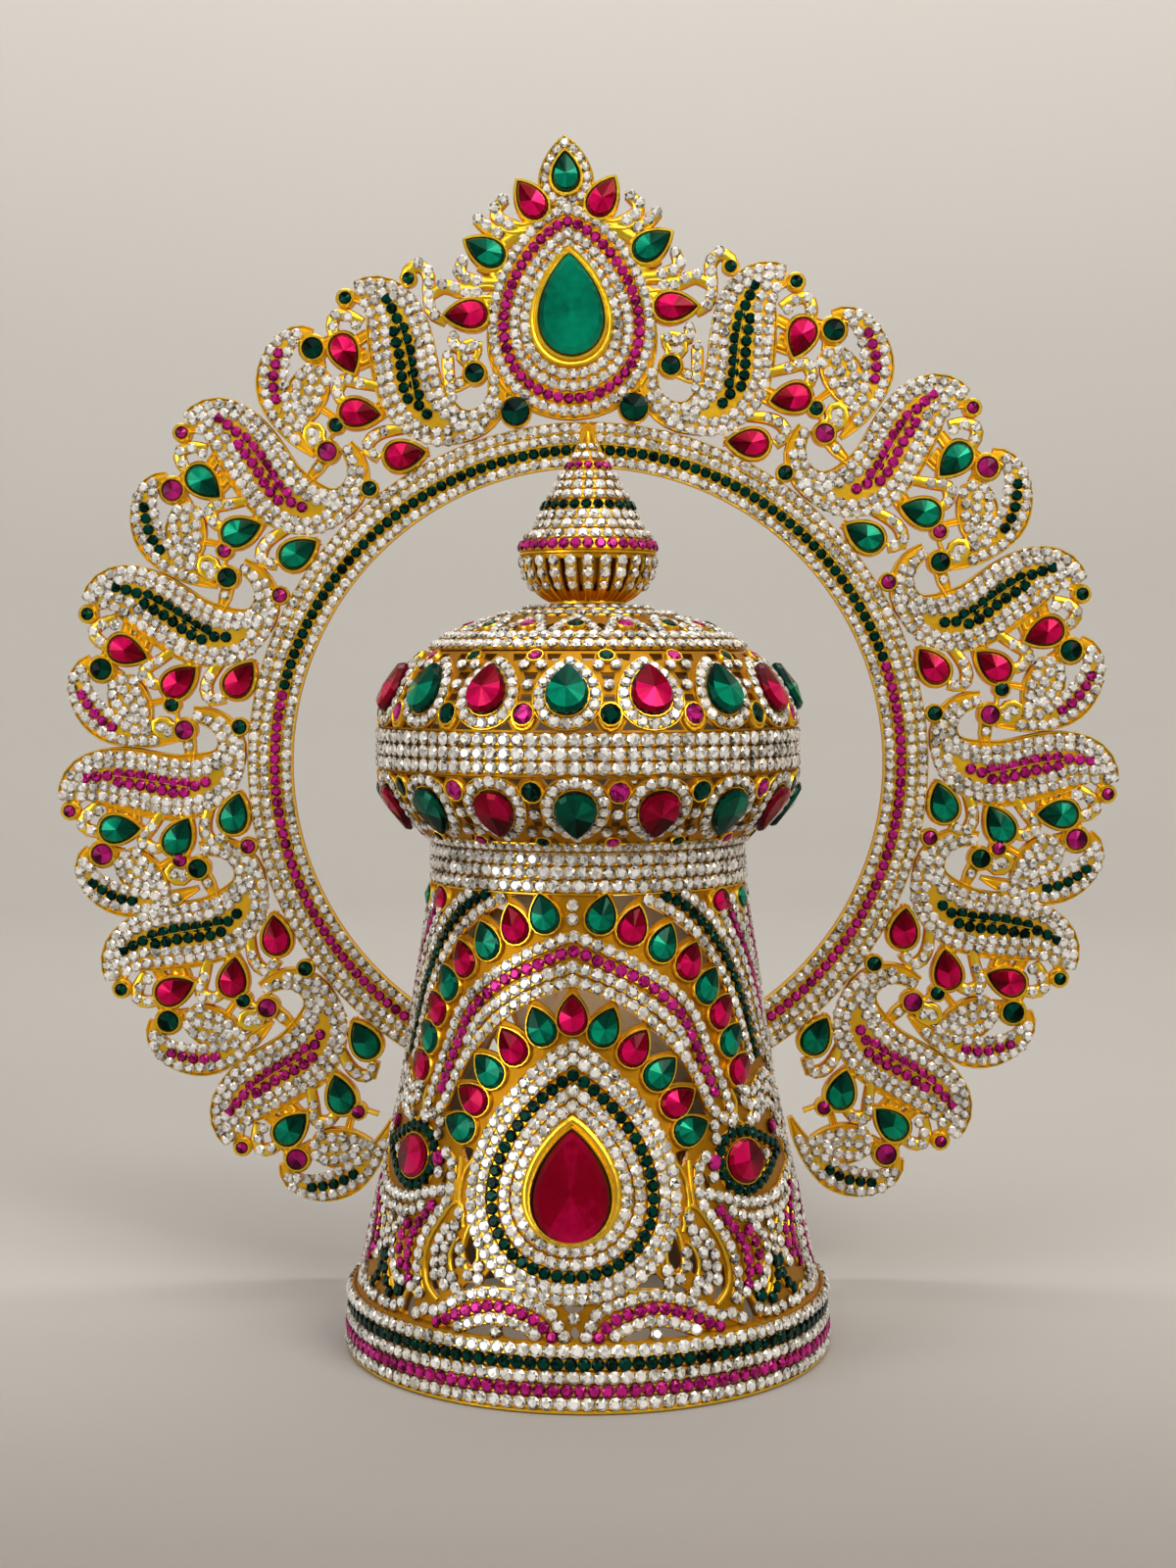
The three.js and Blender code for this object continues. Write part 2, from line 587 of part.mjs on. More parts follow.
/** Slits round the cup, between every other pair of ribs. */
function cupSlits() {
  const count = FINIAL_AROUND / 2;
  return Array.from({ length: count }, (_, i) => {
    const turn = ((i + 0.5) * 360) / count;
    const ring = (above) => [
      turnedPoint(CUP_OUTLINE, turn - 3, 201.2, above), turnedPoint(CUP_OUTLINE, turn + 3, 201.2, above),
      turnedPoint(CUP_OUTLINE, turn + 3, 206.8, above), turnedPoint(CUP_OUTLINE, turn - 3, 206.8, above),
    ];
    return loft([ring(-4), ring(2)]);
  });
}

function finialCup() {
  const floor = 1.8;
  const inner = CUP_OUTLINE.slice(2).map(({ z, r }) => ({ z, r: r - 2 })).reverse();
  const bottom = CUP_OUTLINE[0].z + floor;
  const outline = [
    { z: CUP_OUTLINE[0].z, r: 0 }, ...CUP_OUTLINE, ...inner, { z: bottom, r: 8 }, { z: bottom, r: 0 },
  ];
  return cut(turned(outline, FINIAL_AROUND), cupSlits());
}

function finialCone() {
  const hollow = CONE_TIERS.filter(({ z }) => z < 227).map(({ z, r }) => ({ z, r: r - 2.2 }));
  const outside = [...CONE_TIERS, { z: CONE_TIERS.at(-1).z + 0.2, r: 0 }].reverse();
  return turned([...outside, ...hollow, { z: 227, r: 0 }], FINIAL_AROUND);
}

/** Strap from the back of the cone to the ring's end, hidden behind the crown. */
function bracket(side) {
  const { foot, head, z, width, height } = BRACKET;
  const inside = 20;
  const back = HALO.front - GAP;
  const shape = new THREE.Shape([
    new THREE.Vector2(side * (foot - width / 2), inside),
    new THREE.Vector2(side * (foot + width / 2), inside),
    new THREE.Vector2(side * (head + width / 2), back),
    new THREE.Vector2(side * (head - width / 2), back),
  ]);
  const geometry = new THREE.ExtrudeGeometry(shape, { depth: height, bevelEnabled: false });
  geometry.translate(0, 0, z - height / 2);
  const grown = BODY_OUTLINE.map((row) => ({ z: row.z, r: row.r + GAP }));
  const core = turned([{ z: 0, r: 0 }, ...grown, { z: grown.at(-1).z, r: 0 }], AROUND);
  return solid(geometry).subtract(core);
}

// ---------------------------------------------------------------- assembly
const crown = new THREE.Group();
const add = (name, shape, material = makeGold()) => crown.add(mesh(name, shape, material));

add('crown_body', crownBody());
add('dome_lower', domeLower());
add('dome_band', turnedWall(DOME_BAND, WALL, AROUND));
add('dome_upper', turnedWall(DOME_UPPER, WALL, AROUND));
add('dome_cap', turnedWall(DOME_CAP, 2.2, AROUND));
add('finial_cup', finialCup());
add('finial_cone', finialCone());
add('halo_ring_left', ringHalf(-1));
add('halo_ring_right', ringHalf(1));
add('halo_crest', crest());
for (const sideName of ['left', 'right']) {
  places[sideName].forEach((_, i) => add(`halo_plaque_${sideName}_${i + 1}`, plaque(sideName, i)));
}
add('bracket_left', bracket(-1));
add('bracket_right', bracket(1));

FACES.forEach((face, i) => {
  const faceName = i === 0 ? 'front' : 'back';
  const medallion = dropStone(STONES.medallion, medallionFrame(face), MEDALLION.seat + GAP);
  add(`medallion_stone_${faceName}`, medallion, makeGlass(MAGENTA));
  for (const [sideName, side] of Object.entries(SIDES)) {
    const roundel = ovalStone(STONES.roundel, roundelFrame(face, side), ROUNDEL.seat + GAP);
    add(`roundel_stone_${faceName}_${sideName}`, roundel, makeGlass(MAGENTA));
  }
});
for (let i = 0; i < DOME_STONES; i += 1) {
  const shape = dropStone(STONES.dome, turnedFrame(DOME_UPPER, domeTurn(i), 173.4), GAP + 0.3);
  add(`dome_stone_${i + 1}`, shape, makeGlass(i % 2 ? MAGENTA : GREEN));
}
const crestUpright = crestPlaces[1];
const upright = { turn: 0, lean: 0 };
add('crest_stone', crestUpright.drop({ ...upright, ...CREST_DROP }, STONES.crest), makeGlass(GREEN));
add('crest_top_stone', crestUpright.drop({ ...upright, ...CREST_TOP_DROP }, STONES.topDrop),
  makeGlass(GREEN));
crestPlaces.forEach((place, i) => {
  const sideName = i === 0 ? 'left' : 'right';
  for (const row of CREST_PETALS) {
    const colour = row.name === 'middle' ? GREEN : MAGENTA;
    add(`crest_stone_${row.name}_${sideName}`, place.drop(row, STONES.petal), makeGlass(colour));
  }
  const frame = haloFrame(place.turn(CREST_ROUND.turn), CREST_ROUND.r);
  add(`crest_round_stone_${sideName}`, ovalStone(STONES.round, frame, GAP), makeGlass(DARK_GREEN));
});

export default crown;
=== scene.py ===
"""Deity crown: a pierced, stone-set crown body with a domed top and finial, and a flat halo behind it.

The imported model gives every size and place. Each sub-assembly below is a class that builds the
cast metal and the set stones which stand for its nodes. Tables are in millimetres and degrees.
"""

import logging
import math
from abc import ABC, abstractmethod
from dataclasses import dataclass, field
from enum import Enum

import bmesh
import bpy
import numpy as np
from mathutils import Matrix, Vector


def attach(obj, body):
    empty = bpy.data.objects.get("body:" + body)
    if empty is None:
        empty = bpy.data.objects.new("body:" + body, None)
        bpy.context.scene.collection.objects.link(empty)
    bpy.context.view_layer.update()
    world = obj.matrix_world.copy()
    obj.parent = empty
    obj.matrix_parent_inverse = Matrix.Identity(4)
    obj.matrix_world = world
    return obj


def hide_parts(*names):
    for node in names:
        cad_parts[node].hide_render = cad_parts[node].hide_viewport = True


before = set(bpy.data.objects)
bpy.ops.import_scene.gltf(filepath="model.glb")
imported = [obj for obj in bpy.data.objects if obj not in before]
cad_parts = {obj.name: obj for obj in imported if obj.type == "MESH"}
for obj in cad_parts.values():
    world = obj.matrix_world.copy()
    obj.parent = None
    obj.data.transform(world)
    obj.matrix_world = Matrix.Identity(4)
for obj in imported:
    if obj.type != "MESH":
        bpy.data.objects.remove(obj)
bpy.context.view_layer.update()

LOG = logging.getLogger("deity_crown")
MM = 0.001
Array = np.ndarray
Pair = tuple[float, float]
Triple = tuple[float, float, float]
Colour = Triple
Tree = bpy.types.NodeTree
Node = bpy.types.Node
Link = tuple[Node, str | int, Node, str | int]
FORWARD = np.array([0.0, -1.0, 0.0])
PLATE_DEPTH = 3.3
FULL_TURN = 2 * math.pi


# ------------------------------------------------------------------ options
class Slot(Enum):
    """Material slots of the record."""

    GOLD = "gold_cast"
    CLEAR = "clear_stone"
    RUBY = "ruby_stone"
    EMERALD = "emerald_stone"
    DARK_GREEN = "dark_green_stone"


class Gem(Enum):
    """Kinds of set stone."""

    CLEAR = "clear"
    MAGENTA = "magenta"
    BOTTLE = "bottle_green"
    RUBY = "ruby"
    EMERALD = "emerald"
    DEEP_GREEN = "deep_green"


W, M, G = Gem.CLEAR, Gem.MAGENTA, Gem.BOTTLE


# ------------------------------------------------------------------ shader groups
def add_node(tree: Tree, kind: str, **values: object) -> Node:
    """Adds a node and sets its properties and the defaults of its inputs.

    Args:
        tree: Node tree that gets the node.
        kind: Blender's type name of the node.
        **values: Node properties, or input defaults by the input's name with _ for a space.

    Returns:
        The new node.
    """
    node = tree.nodes.new(kind)
    for key, value in values.items():
        if hasattr(node, key):
            setattr(node, key, value)
        else:
            node.inputs[key.replace("_", " ")].default_value = value
    return node


def wire(tree: Tree, *links: Link) -> None:
    """Links sockets.

    Args:
        tree: Node tree that holds the nodes.
        *links: Node, output, node and input of each link.
    """
    for source, result, target, entry in links:
        tree.links.new(source.outputs[result], target.inputs[entry])


def new_group(name: str, inputs: dict[str, object], outputs: tuple[str, ...]) -> tuple[Tree, Node, Node]:
    """Starts a shader node group with named sockets.

    Args:
        name: Name of the group.
        inputs: Default of each input: a number, a colour, or None for a vector.
        outputs: Name of each output. Color is a colour, and the others are numbers.

    Returns:
        The group with its input node and output node.
    """
    tree = bpy.data.node_groups.new(name, "ShaderNodeTree")
    for label, default in inputs.items():
        kind = "Vector" if default is None else "Color" if isinstance(default, tuple) else "Float"
        socket = tree.interface.new_socket(name=label, in_out="INPUT", socket_type=f"NodeSocket{kind}")
        if default is not None:
            socket.default_value = default
    for label in outputs:
        kind = "Color" if label == "Color" else "Float"
        tree.interface.new_socket(name=label, in_out="OUTPUT", socket_type=f"NodeSocket{kind}")
    return tree, tree.nodes.new("NodeGroupInput"), tree.nodes.new("NodeGroupOutput")


def graded(tree: Tree, given: Node, value: tuple[Node, str | int], tones: tuple[str, ...],
           steps: tuple[float, ...]) -> Node:
    """Blends a group's colours over a value.

    Args:
        tree: Node tree of the group.
        given: Its input node.
        value: Node and output that give the value.
        tones: Inputs that hold the colours, from low to high.
        steps: Value at which each colour is met.

    Returns:
        The node that puts out the blend.
    """
    blend, output = given, tones[0]
    for tone, start, end in zip(tones[1:], steps, steps[1:]):
        share = add_node(tree, "ShaderNodeMapRange", From_Min=start, From_Max=end)
        mix = add_node(tree, "ShaderNodeMix", data_type="RGBA")
        wire(tree, (*value, share, "Value"), (share, "Result", mix, "Factor"), (blend, output, mix, "A"),
             (given, tone, mix, "B"))
        blend, output = mix, "Result"
    return blend


def cast_group() -> Tree:
    """Builds the cast-metal group: fine pits and slow swells.

    Returns:
        A group that puts out a height, and a mask of the duller patches.
    """
    tree, given, result = new_group(
        "cast_texture", {"Vector": None, "Pit Scale": 900.0, "Swell Scale": 220.0}, ("Height", "Patch"))
    pits = add_node(tree, "ShaderNodeTexNoise", Detail=3.0, Roughness=0.55)
    swells = add_node(tree, "ShaderNodeTexNoise", Detail=1.5, Roughness=0.5)
    patches = add_node(tree, "ShaderNodeTexNoise", Scale=90.0, Detail=2.0)
    blend = add_node(tree, "ShaderNodeMath", operation="MULTIPLY_ADD")
    blend.inputs[1].default_value = 0.35
    spread = add_node(tree, "ShaderNodeMapRange", From_Min=0.42, From_Max=0.66)
    wire(tree, (given, "Vector", pits, "Vector"), (given, "Pit Scale", pits, "Scale"),
         (given, "Vector", swells, "Vector"), (given, "Swell Scale", swells, "Scale"),
         (given, "Vector", patches, "Vector"), (pits, "Fac", blend, 0), (swells, "Fac", blend, 2),
         (patches, "Fac", spread, "Value"), (blend, 0, result, "Height"), (spread, "Result", result, "Patch"))
    return tree


def relief_group() -> Tree:
    """Builds the relief group, which colours metal by its lift from painted shade in its hollows, through the
    gold's own colour, to a painted highlight on its ridges, and makes the ridges polished.

    Returns:
        A group that puts out a colour and a roughness.
    """
    tree, given, result = new_group(
        "relief_shade_highlight",
        {"Lift": 0.5, "Patch": 0.0, "Bare": (0.3, 0.2, 0.1, 1), "Hollow": (0.3, 0.1, 0.01, 1),
         "Field": (0.8, 0.45, 0.05, 1), "Ridge": (1, 0.7, 0.15, 1), "Dull": 0.4, "Polish": 0.2},
        ("Color", "Roughness"))
    # Painted shade at lift 0, the gold's own colour at 0.4 and a painted highlight at 0.95.
    over = graded(tree, given, (given, "Lift"), ("Hollow", "Field", "Ridge"), (0.0, 0.4, 0.95))
    worn = add_node(tree, "ShaderNodeMath", operation="MULTIPLY_ADD")
    worn.inputs[1].default_value = -0.35
    gloss = add_node(tree, "ShaderNodeMapRange", From_Min=0.0, From_Max=1.0)
    gilded = add_node(tree, "ShaderNodeMapRange", From_Min=-1.0, From_Max=0.0)
    skin = add_node(tree, "ShaderNodeMix", data_type="RGBA")
    wire(tree, (given, "Patch", worn, 0), (given, "Lift", worn, 2), (worn, 0, gloss, "Value"),
         (given, "Dull", gloss, "To Min"), (given, "Polish", gloss, "To Max"), (given, "Lift", gilded, "Value"),
         (gilded, "Result", skin, "Factor"), (given, "Bare", skin, "A"), (over, "Result", skin, "B"),
         (skin, "Result", result, "Color"), (gloss, "Result", result, "Roughness"))
    return tree


def facet_group() -> Tree:
    """Builds the facet group, which paints reflection and shade into a foil-backed stone's colour, facet by
    facet, from its dark tone through its body colour to its bright tone.

    Returns:
        A group that puts out a colour and a roughness.
    """
    tree, given, result = new_group(
        "facet_reflection_and_shade",
        {"Vector": None, "Facet": 0.5, "Dark": (0.1, 0.1, 0.1, 1), "Body": (0.5, 0.5, 0.5, 1),
         "Bright": (1, 1, 1, 1), "Cloud": 0.15},
        ("Color", "Roughness"))
    cloud = add_node(tree, "ShaderNodeTexNoise", Scale=420.0, Detail=2.0)
    centred = add_node(tree, "ShaderNodeMath", operation="SUBTRACT")
    centred.inputs[1].default_value = 0.5
    shift = add_node(tree, "ShaderNodeMath", operation="MULTIPLY_ADD")
    over = graded(tree, given, (shift, 0), ("Dark", "Body", "Bright"), (0.0, 0.5, 1.0))
    gloss = add_node(tree, "ShaderNodeMapRange", From_Min=0.3, From_Max=0.7, To_Min=0.05, To_Max=0.14)
    wire(tree, (given, "Vector", cloud, "Vector"), (cloud, "Fac", centred, 0), (centred, 0, shift, 0),
         (given, "Cloud", shift, 1), (given, "Facet", shift, 2), (cloud, "Fac", gloss, "Value"),
         (over, "Result", result, "Color"), (gloss, "Result", result, "Roughness"))
    return tree


@dataclass(frozen=True)
class Groups:
    """Shader groups that the finishes share."""

    cast: Tree
    relief: Tree
    facet: Tree


def new_material(name: str) -> tuple[bpy.types.Material, Tree, Node, Node]:
    """Starts a material.

    Args:
        name: Name of the material.

    Returns:
        The material, its node tree, its shader and a node that gives the coordinates.
    """
    material = bpy.data.materials.new(name)
    material.use_nodes = True
    tree = material.node_tree
    return material, tree, tree.nodes["Principled BSDF"], tree.nodes.new("ShaderNodeTexCoord")


# ------------------------------------------------------------------ finishes
@dataclass(frozen=True)
class GoldFinish:
    """Gilded cast brass with a pitted skin: painted shade darkens its hollows to orange, a painted highlight
    brightens its ridges, and the ridges are polished.
    """

    name: str = "gilded_casting"
    # The hollow colour is painted shade for the hollows, the plain colour is the gold's own, and the ridge
    # colour is a painted highlight on the ridges.
    bare: Colour = (0.20, 0.14, 0.085)
    hollow_shade: Colour = (0.17, 0.05, 0.002)
    plain: Colour = (0.70, 0.335, 0.012)
    ridge: Colour = (1.0, 0.64, 0.045)
    dull: float = 0.5
    polish: float = 0.28
    bump: float = 0.5
    has_lift: bool = True

    def material(self, groups: Groups) -> bpy.types.Material:
        """Makes the material.

        Args:
            groups: Shared shader groups.

        Returns:
            The new material.
        """
        material, tree, shader, place = new_material(self.name)
        shader.inputs["Metallic"].default_value = 1.0
        cast = add_node(tree, "ShaderNodeGroup", node_tree=groups.cast)
        tint = add_node(tree, "ShaderNodeGroup", node_tree=groups.relief, Bare=(*self.bare, 1),
                        Hollow=(*self.hollow_shade, 1), Field=(*self.plain, 1), Ridge=(*self.ridge, 1),
                        Dull=self.dull, Polish=self.polish)
        if self.has_lift:
            lift = add_node(tree, "ShaderNodeAttribute", attribute_name="lift")
            wire(tree, (lift, "Fac", tint, "Lift"))
        else:
            tint.inputs["Lift"].default_value = 0.45
        bump = add_node(tree, "ShaderNodeBump", Strength=self.bump, Distance=0.0004)
        wire(tree, (place, "Object", cast, "Vector"), (cast, "Patch", tint, "Patch"),
             (cast, "Height", bump, "Height"), (tint, "Color", shader, "Base Color"),
             (tint, "Roughness", shader, "Roughness"), (bump, "Normal", shader, "Normal"))
        return material


@dataclass(frozen=True)
class StoneFinish:
    """A foil-backed cut stone; its dark tone is painted shade, its body the stone's own colour and its bright
    tone a painted reflection.
    """

    name: str
    slot: Slot
    dark: Colour
    body: Colour
    bright: Colour
    metallic: float = 0.4
    sheen: float = 0.15
    cloud: float = 0.2

    def material(self, groups: Groups) -> bpy.types.Material:
        """Makes the material.

        Args:
            groups: Shared shader groups.

        Returns:
            The new material.
        """
        material, tree, shader, place = new_material(self.name)
        shader.inputs["Metallic"].default_value = self.metallic
        shader.inputs["Specular IOR Level"].default_value = self.sheen
        facet = add_node(tree, "ShaderNodeAttribute", attribute_name="facet")
        play = add_node(tree, "ShaderNodeGroup", node_tree=groups.facet, Dark=(*self.dark, 1),
                        Body=(*self.body, 1), Bright=(*self.bright, 1), Cloud=self.cloud)
        wire(tree, (place, "Object", play, "Vector"), (facet, "Fac", play, "Facet"),
             (play, "Color", shader, "Base Color"), (play, "Roughness", shader, "Roughness"))
        return material


@dataclass(frozen=True)
class BackdropFinish:
    """Matt pale paper of the studio floor and its sweep, with painted shade that greys it in front and painted
    light that pales it high up.
    """

    name: str = "studio_paper"
    # pale is the paper's own colour; deep is painted shade towards the front; high is painted light high up the
    # sweep.
    pale: Colour = (0.505, 0.480, 0.446)
    deep: Colour = (0.295, 0.265, 0.242)
    high: Colour = (0.70, 0.672, 0.632)

    def material(self, groups: Groups) -> bpy.types.Material:
        """Makes the material.

        Args:
            groups: Shared shader groups; the paper's grain is the cast group at a coarse scale.

        Returns:
            The new material.
        """
        material, tree, shader, place = new_material(self.name)
        shader.inputs["Roughness"].default_value = 0.9
        grain = add_node(tree, "ShaderNodeGroup", node_tree=groups.cast, Pit_Scale=300.0, Swell_Scale=3.0)
        parts = tree.nodes.new("ShaderNodeSeparateXYZ")
        wire(tree, (place, "Object", grain, "Vector"), (place, "Object", parts, "Vector"))
        below = None
        # Painted shade towards the camera along Y, then painted light up the sweep along Z.
        for axis, start, end, tone in (("Y", 0.05, -0.17, self.deep), ("Z", 0.25, 1.0, self.high)):
            share = add_node(tree, "ShaderNodeMapRange", From_Min=start, From_Max=end)
            mix = add_node(tree, "ShaderNodeMix", data_type="RGBA", A=(*self.pale, 1), B=(*tone, 1))
            wire(tree, (parts, axis, share, "Value"), (share, "Result", mix, "Factor"))
            if below is not None:
                wire(tree, (below, "Result", mix, "A"))
            below = mix
        speck = add_node(tree, "ShaderNodeMix", data_type="RGBA", blend_type="MULTIPLY", Factor=0.04)
        wire(tree, (below, "Result", speck, "A"), (grain, "Height", speck, "B"),
             (speck, "Result", shader, "Base Color"))
        return material


# Each finish: name, slot, painted shade tone, the stone's own body colour, painted reflection tone, metallic
# and specular level.
STONE_FINISHES = {
    Gem.CLEAR: StoneFinish("clear_foiled_stone", Slot.CLEAR, (0.06, 0.05, 0.038), (0.50, 0.465, 0.395),
                           (1.0, 0.98, 0.93), 0.3, 0.6),
    Gem.MAGENTA: StoneFinish("magenta_foiled_stone", Slot.RUBY, (0.03, 0.0, 0.012), (0.20, 0.003, 0.065),
                             (0.60, 0.02, 0.25), 0.3, 0.15),
    Gem.BOTTLE: StoneFinish("bottle_green_foiled_stone", Slot.DARK_GREEN, (0.0, 0.0015, 0.001),
                            (0.0, 0.0055, 0.004), (0.0, 0.045, 0.028), 0.3, 0.1),
    Gem.RUBY: StoneFinish("ruby_foiled_stone", Slot.RUBY, (0.045, 0.0, 0.003), (0.235, 0.0, 0.012),
                          (0.95, 0.004, 0.15), 0.3, 0.1),
    Gem.EMERALD: StoneFinish("emerald_foiled_stone", Slot.EMERALD, (0.0, 0.01, 0.006), (0.0, 0.07, 0.038),
                             (0.001, 0.42, 0.23), 0.3, 0.1),
    Gem.DEEP_GREEN: StoneFinish("deep_green_foiled_stone", Slot.DARK_GREEN, (0.0, 0.003, 0.002),
                                (0.0, 0.011, 0.007), (0.001, 0.085, 0.05), 0.3, 0.08),
}


class Paints:
    """Every material of the part, each made once."""

    def __init__(self) -> None:
        """Builds the shared groups and the materials."""
        self.groups = Groups(cast_group(), relief_group(), facet_group())
        self.gold = GoldFinish().material(self.groups)
        self.plain_gold = GoldFinish("gilded_strap", has_lift=False).material(self.groups)
        # The halo's gold is the same casting with painted light: its colours raised to stand for brighter light
        # on the halo.
        self.painted_lit_gold = GoldFinish("gilded_casting_painted_lit", plain=(0.94, 0.43, 0.010),
                                      ridge=(1.0, 0.69, 0.045)).material(self.groups)
        self.stones = {gem: finish.material(self.groups) for gem, finish in STONE_FINISHES.items()}
        self.paper = BackdropFinish().material(self.groups)


# ------------------------------------------------------------------ surfaces
class Surface(ABC):
    """A surface that ornament is laid on, with a turn in degrees and a reach in millimetres."""

    @abstractmethod
    def points(self, turn: Array, reach: Array) -> Array:
        """Points of the surface in millimetres."""

    @abstractmethod
    def axes(self, turn: Array, reach: Array) -> tuple[Array, Array, Array]:
        """Unit vectors across, along the reach and out of the surface."""

    @abstractmethod
    def shifted(self, turn: float, reach: float, moves: Array) -> tuple[Array, Array]:
        """Turns and reaches after moves in millimetres across and along from a place."""


class TurnedSurface(Surface):
    """A surface turned about the crown's axis. Its reach is the height."""

    def __init__(self, rows: tuple[Pair, ...], depth: float = 0.0) -> None:
        """Keeps an outline.

        Args:
            rows: Height and radius, from the bottom up.
            depth: How far the surface lies inside the outline.
        """
        self.height = np.array([row[0] for row in rows], float)
        self.radius = np.array([row[1] for row in rows], float) - depth
        self.length = np.concatenate(([0], np.cumsum(np.hypot(np.diff(self.height), np.diff(self.radius)))))

    def radius_at(self, reach: Array) -> Array:
        """Radius at each height."""
        return np.interp(reach, self.height, self.radius)

    def points(self, turn: Array, reach: Array) -> Array:
        """Points of the surface in millimetres."""
        angle, radius = np.radians(turn), self.radius_at(reach)
        return np.stack([radius * np.sin(angle), -radius * np.cos(angle), np.asarray(reach, float)], -1)

    def axes(self, turn: Array, reach: Array) -> tuple[Array, Array, Array]:
        """Unit vectors across, up and out of the surface."""
        angle = np.radians(turn)
        at = np.interp(reach, self.height, self.length)
        low = np.clip(at - 1.2, 0, self.length[-1])
        high = np.clip(at + 1.2, 0, self.length[-1])
        rise = np.interp(high, self.length, self.height) - np.interp(low, self.length, self.height)
        flare = np.interp(high, self.length, self.radius) - np.interp(low, self.length, self.radius)
        size = np.hypot(rise, flare)
        rise, flare = rise / size, flare / size
        across = np.stack([np.cos(angle), np.sin(angle), 0 * angle], -1)
        up = np.stack([flare * np.sin(angle), -flare * np.cos(angle), rise + 0 * angle], -1)
        return across, up, np.cross(across, up)

    def shifted(self, turn: float, reach: float, moves: Array) -> tuple[Array, Array]:
        """Turns and heights after moves across and up the surface."""
        at = np.interp(reach, self.height, self.length) + moves[:, 1]
        height = np.interp(at, self.length, self.height)
        return turn + np.degrees(moves[:, 0] / self.radius_at(height)), height


@dataclass(frozen=True)
class HaloSurface(Surface):
    """The halo's front plane about the ring's centre. Its reach is the radius from there."""

    centre: float
    front: float

    def points(self, turn: Array, reach: Array) -> Array:
        """Points of the plane in millimetres."""
        angle = np.radians(turn)
        height = self.centre + reach * np.cos(angle)
        return np.stack([reach * np.sin(angle), self.front + 0 * angle, height], -1)

    def axes(self, turn: Array, reach: Array) -> tuple[Array, Array, Array]:
        """Unit vectors across, away from the centre and forwards."""
        angle = np.radians(turn) + 0 * np.asarray(reach, float)
        across = np.stack([np.cos(angle), 0 * angle, -np.sin(angle)], -1)
        away = np.stack([np.sin(angle), 0 * angle, np.cos(angle)], -1)
        return across, away, np.cross(across, away)

    def shifted(self, turn: float, reach: float, moves: Array) -> tuple[Array, Array]:
        """Turns and radii after moves across and outwards."""
        angle = math.radians(turn)
        x = reach * math.sin(angle) + moves[:, 0] * math.cos(angle) + moves[:, 1] * math.sin(angle)
        z = reach * math.cos(angle) - moves[:, 0] * math.sin(angle) + moves[:, 1] * math.cos(angle)
        near = turn + (np.degrees(np.arctan2(x, z)) - turn + 180) % 360 - 180
        return near, np.hypot(x, z)


# ------------------------------------------------------------------ outlines and courses
def drop_outline(length: float, width: float, count: int) -> Array:
    """Drop outline about its middle, from its point at +y.

    Args:
        length: Length along the point.
        width: Greatest width.
        count: Number of points.

    Returns:
        Points in millimetres.
    """
    angle = np.arange(count) / count * FULL_TURN
    waist = np.sin(angle) * np.abs(np.sin(angle / 2)) ** 0.7
    widest = math.sin(math.radians(104)) * math.sin(math.radians(52)) ** 0.7
    return np.stack([width / 2 * waist / widest, length / 2 * np.cos(angle)], -1)


def oval_outline(length: float, width: float, count: int) -> Array:
    """Oval outline about its middle, from its end at +y."""
    angle = np.arange(count) / count * FULL_TURN
    return np.stack([width / 2 * np.sin(angle), length / 2 * np.cos(angle)], -1)


def leaned(moves: Array, lean: float) -> Array:
    """Moves turned clockwise by a lean in degrees."""
    c, s = math.cos(math.radians(lean)), math.sin(math.radians(lean))
    return np.stack([moves[:, 0] * c + moves[:, 1] * s, moves[:, 1] * c - moves[:, 0] * s], -1)


def smooth_rows(rows: Array, closed: bool, steps: int = 8) -> Array:
    """A smooth line through rows of numbers.

    Args:
        rows: One row for each given point.
        closed: Whether the line returns to its start.
        steps: Points made for each given one.

    Returns:
        The finer rows.
    """
    if len(rows) < 3:
        share = np.linspace(0, 1, steps + 1)[:, None]
        return rows[0] + (rows[-1] - rows[0]) * share
    if closed:
        padded = np.concatenate([rows[-1:], rows, rows[:2]])
    else:
        padded = np.concatenate([2 * rows[:1] - rows[1:2], rows, 2 * rows[-1:] - rows[-2:-1]])
    t = (np.arange(steps) / steps)[:, None]
    pieces = []
    for i in range(1, len(padded) - 2):
        a, b, c, d = padded[i - 1], padded[i], padded[i + 1], padded[i + 2]
        pieces.append(0.5 * (2 * b + (c - a) * t + (2 * a - 5 * b + 4 * c - d) * t**2
                             + (3 * b - a - 3 * c + d) * t**3))
    if not closed:
        pieces.append(rows[-1:])
    return np.concatenate(pieces)


@dataclass
class Course:
    """A line laid on a surface, with half of a width at each point."""

    surface: Surface
    turn: Array
    reach: Array
    half: Array
    closed: bool = False
    lap: float = 0.0

    def spaced(self, step: float, odd: bool = False) -> "Course":
        """The same line with points at even distances.

        Args:
            step: Wanted distance in millimetres.
            odd: Whether an odd number of points is wanted.

        Returns:
            The new line.
        """
        turn, reach, half = self.turn, self.reach, self.half
        if self.closed:
            turn = np.append(turn, turn[0] + self.lap)
            reach, half = np.append(reach, reach[0]), np.append(half, half[0])
        points = self.surface.points(turn, reach)
        run = np.concatenate(([0], np.cumsum(np.linalg.norm(np.diff(points, axis=0), axis=1))))
        gaps = max(1 if not self.closed else 6, round(run[-1] / step))
        if odd and gaps % 2:
            gaps += 1
        at = np.linspace(0, run[-1], gaps + (0 if self.closed else 1), endpoint=not self.closed)
        return Course(self.surface, np.interp(at, run, turn), np.interp(at, run, reach),
                      np.interp(at, run, half), self.closed, self.lap)


def hoop(surface: Surface, reach: float, half: float, start: float = 0.0) -> Course:
    """A level line right round a surface."""
    turn = start + np.arange(180) * 2.0
    return Course(surface, turn, np.full(180, reach), np.full(180, half), True, 360.0)


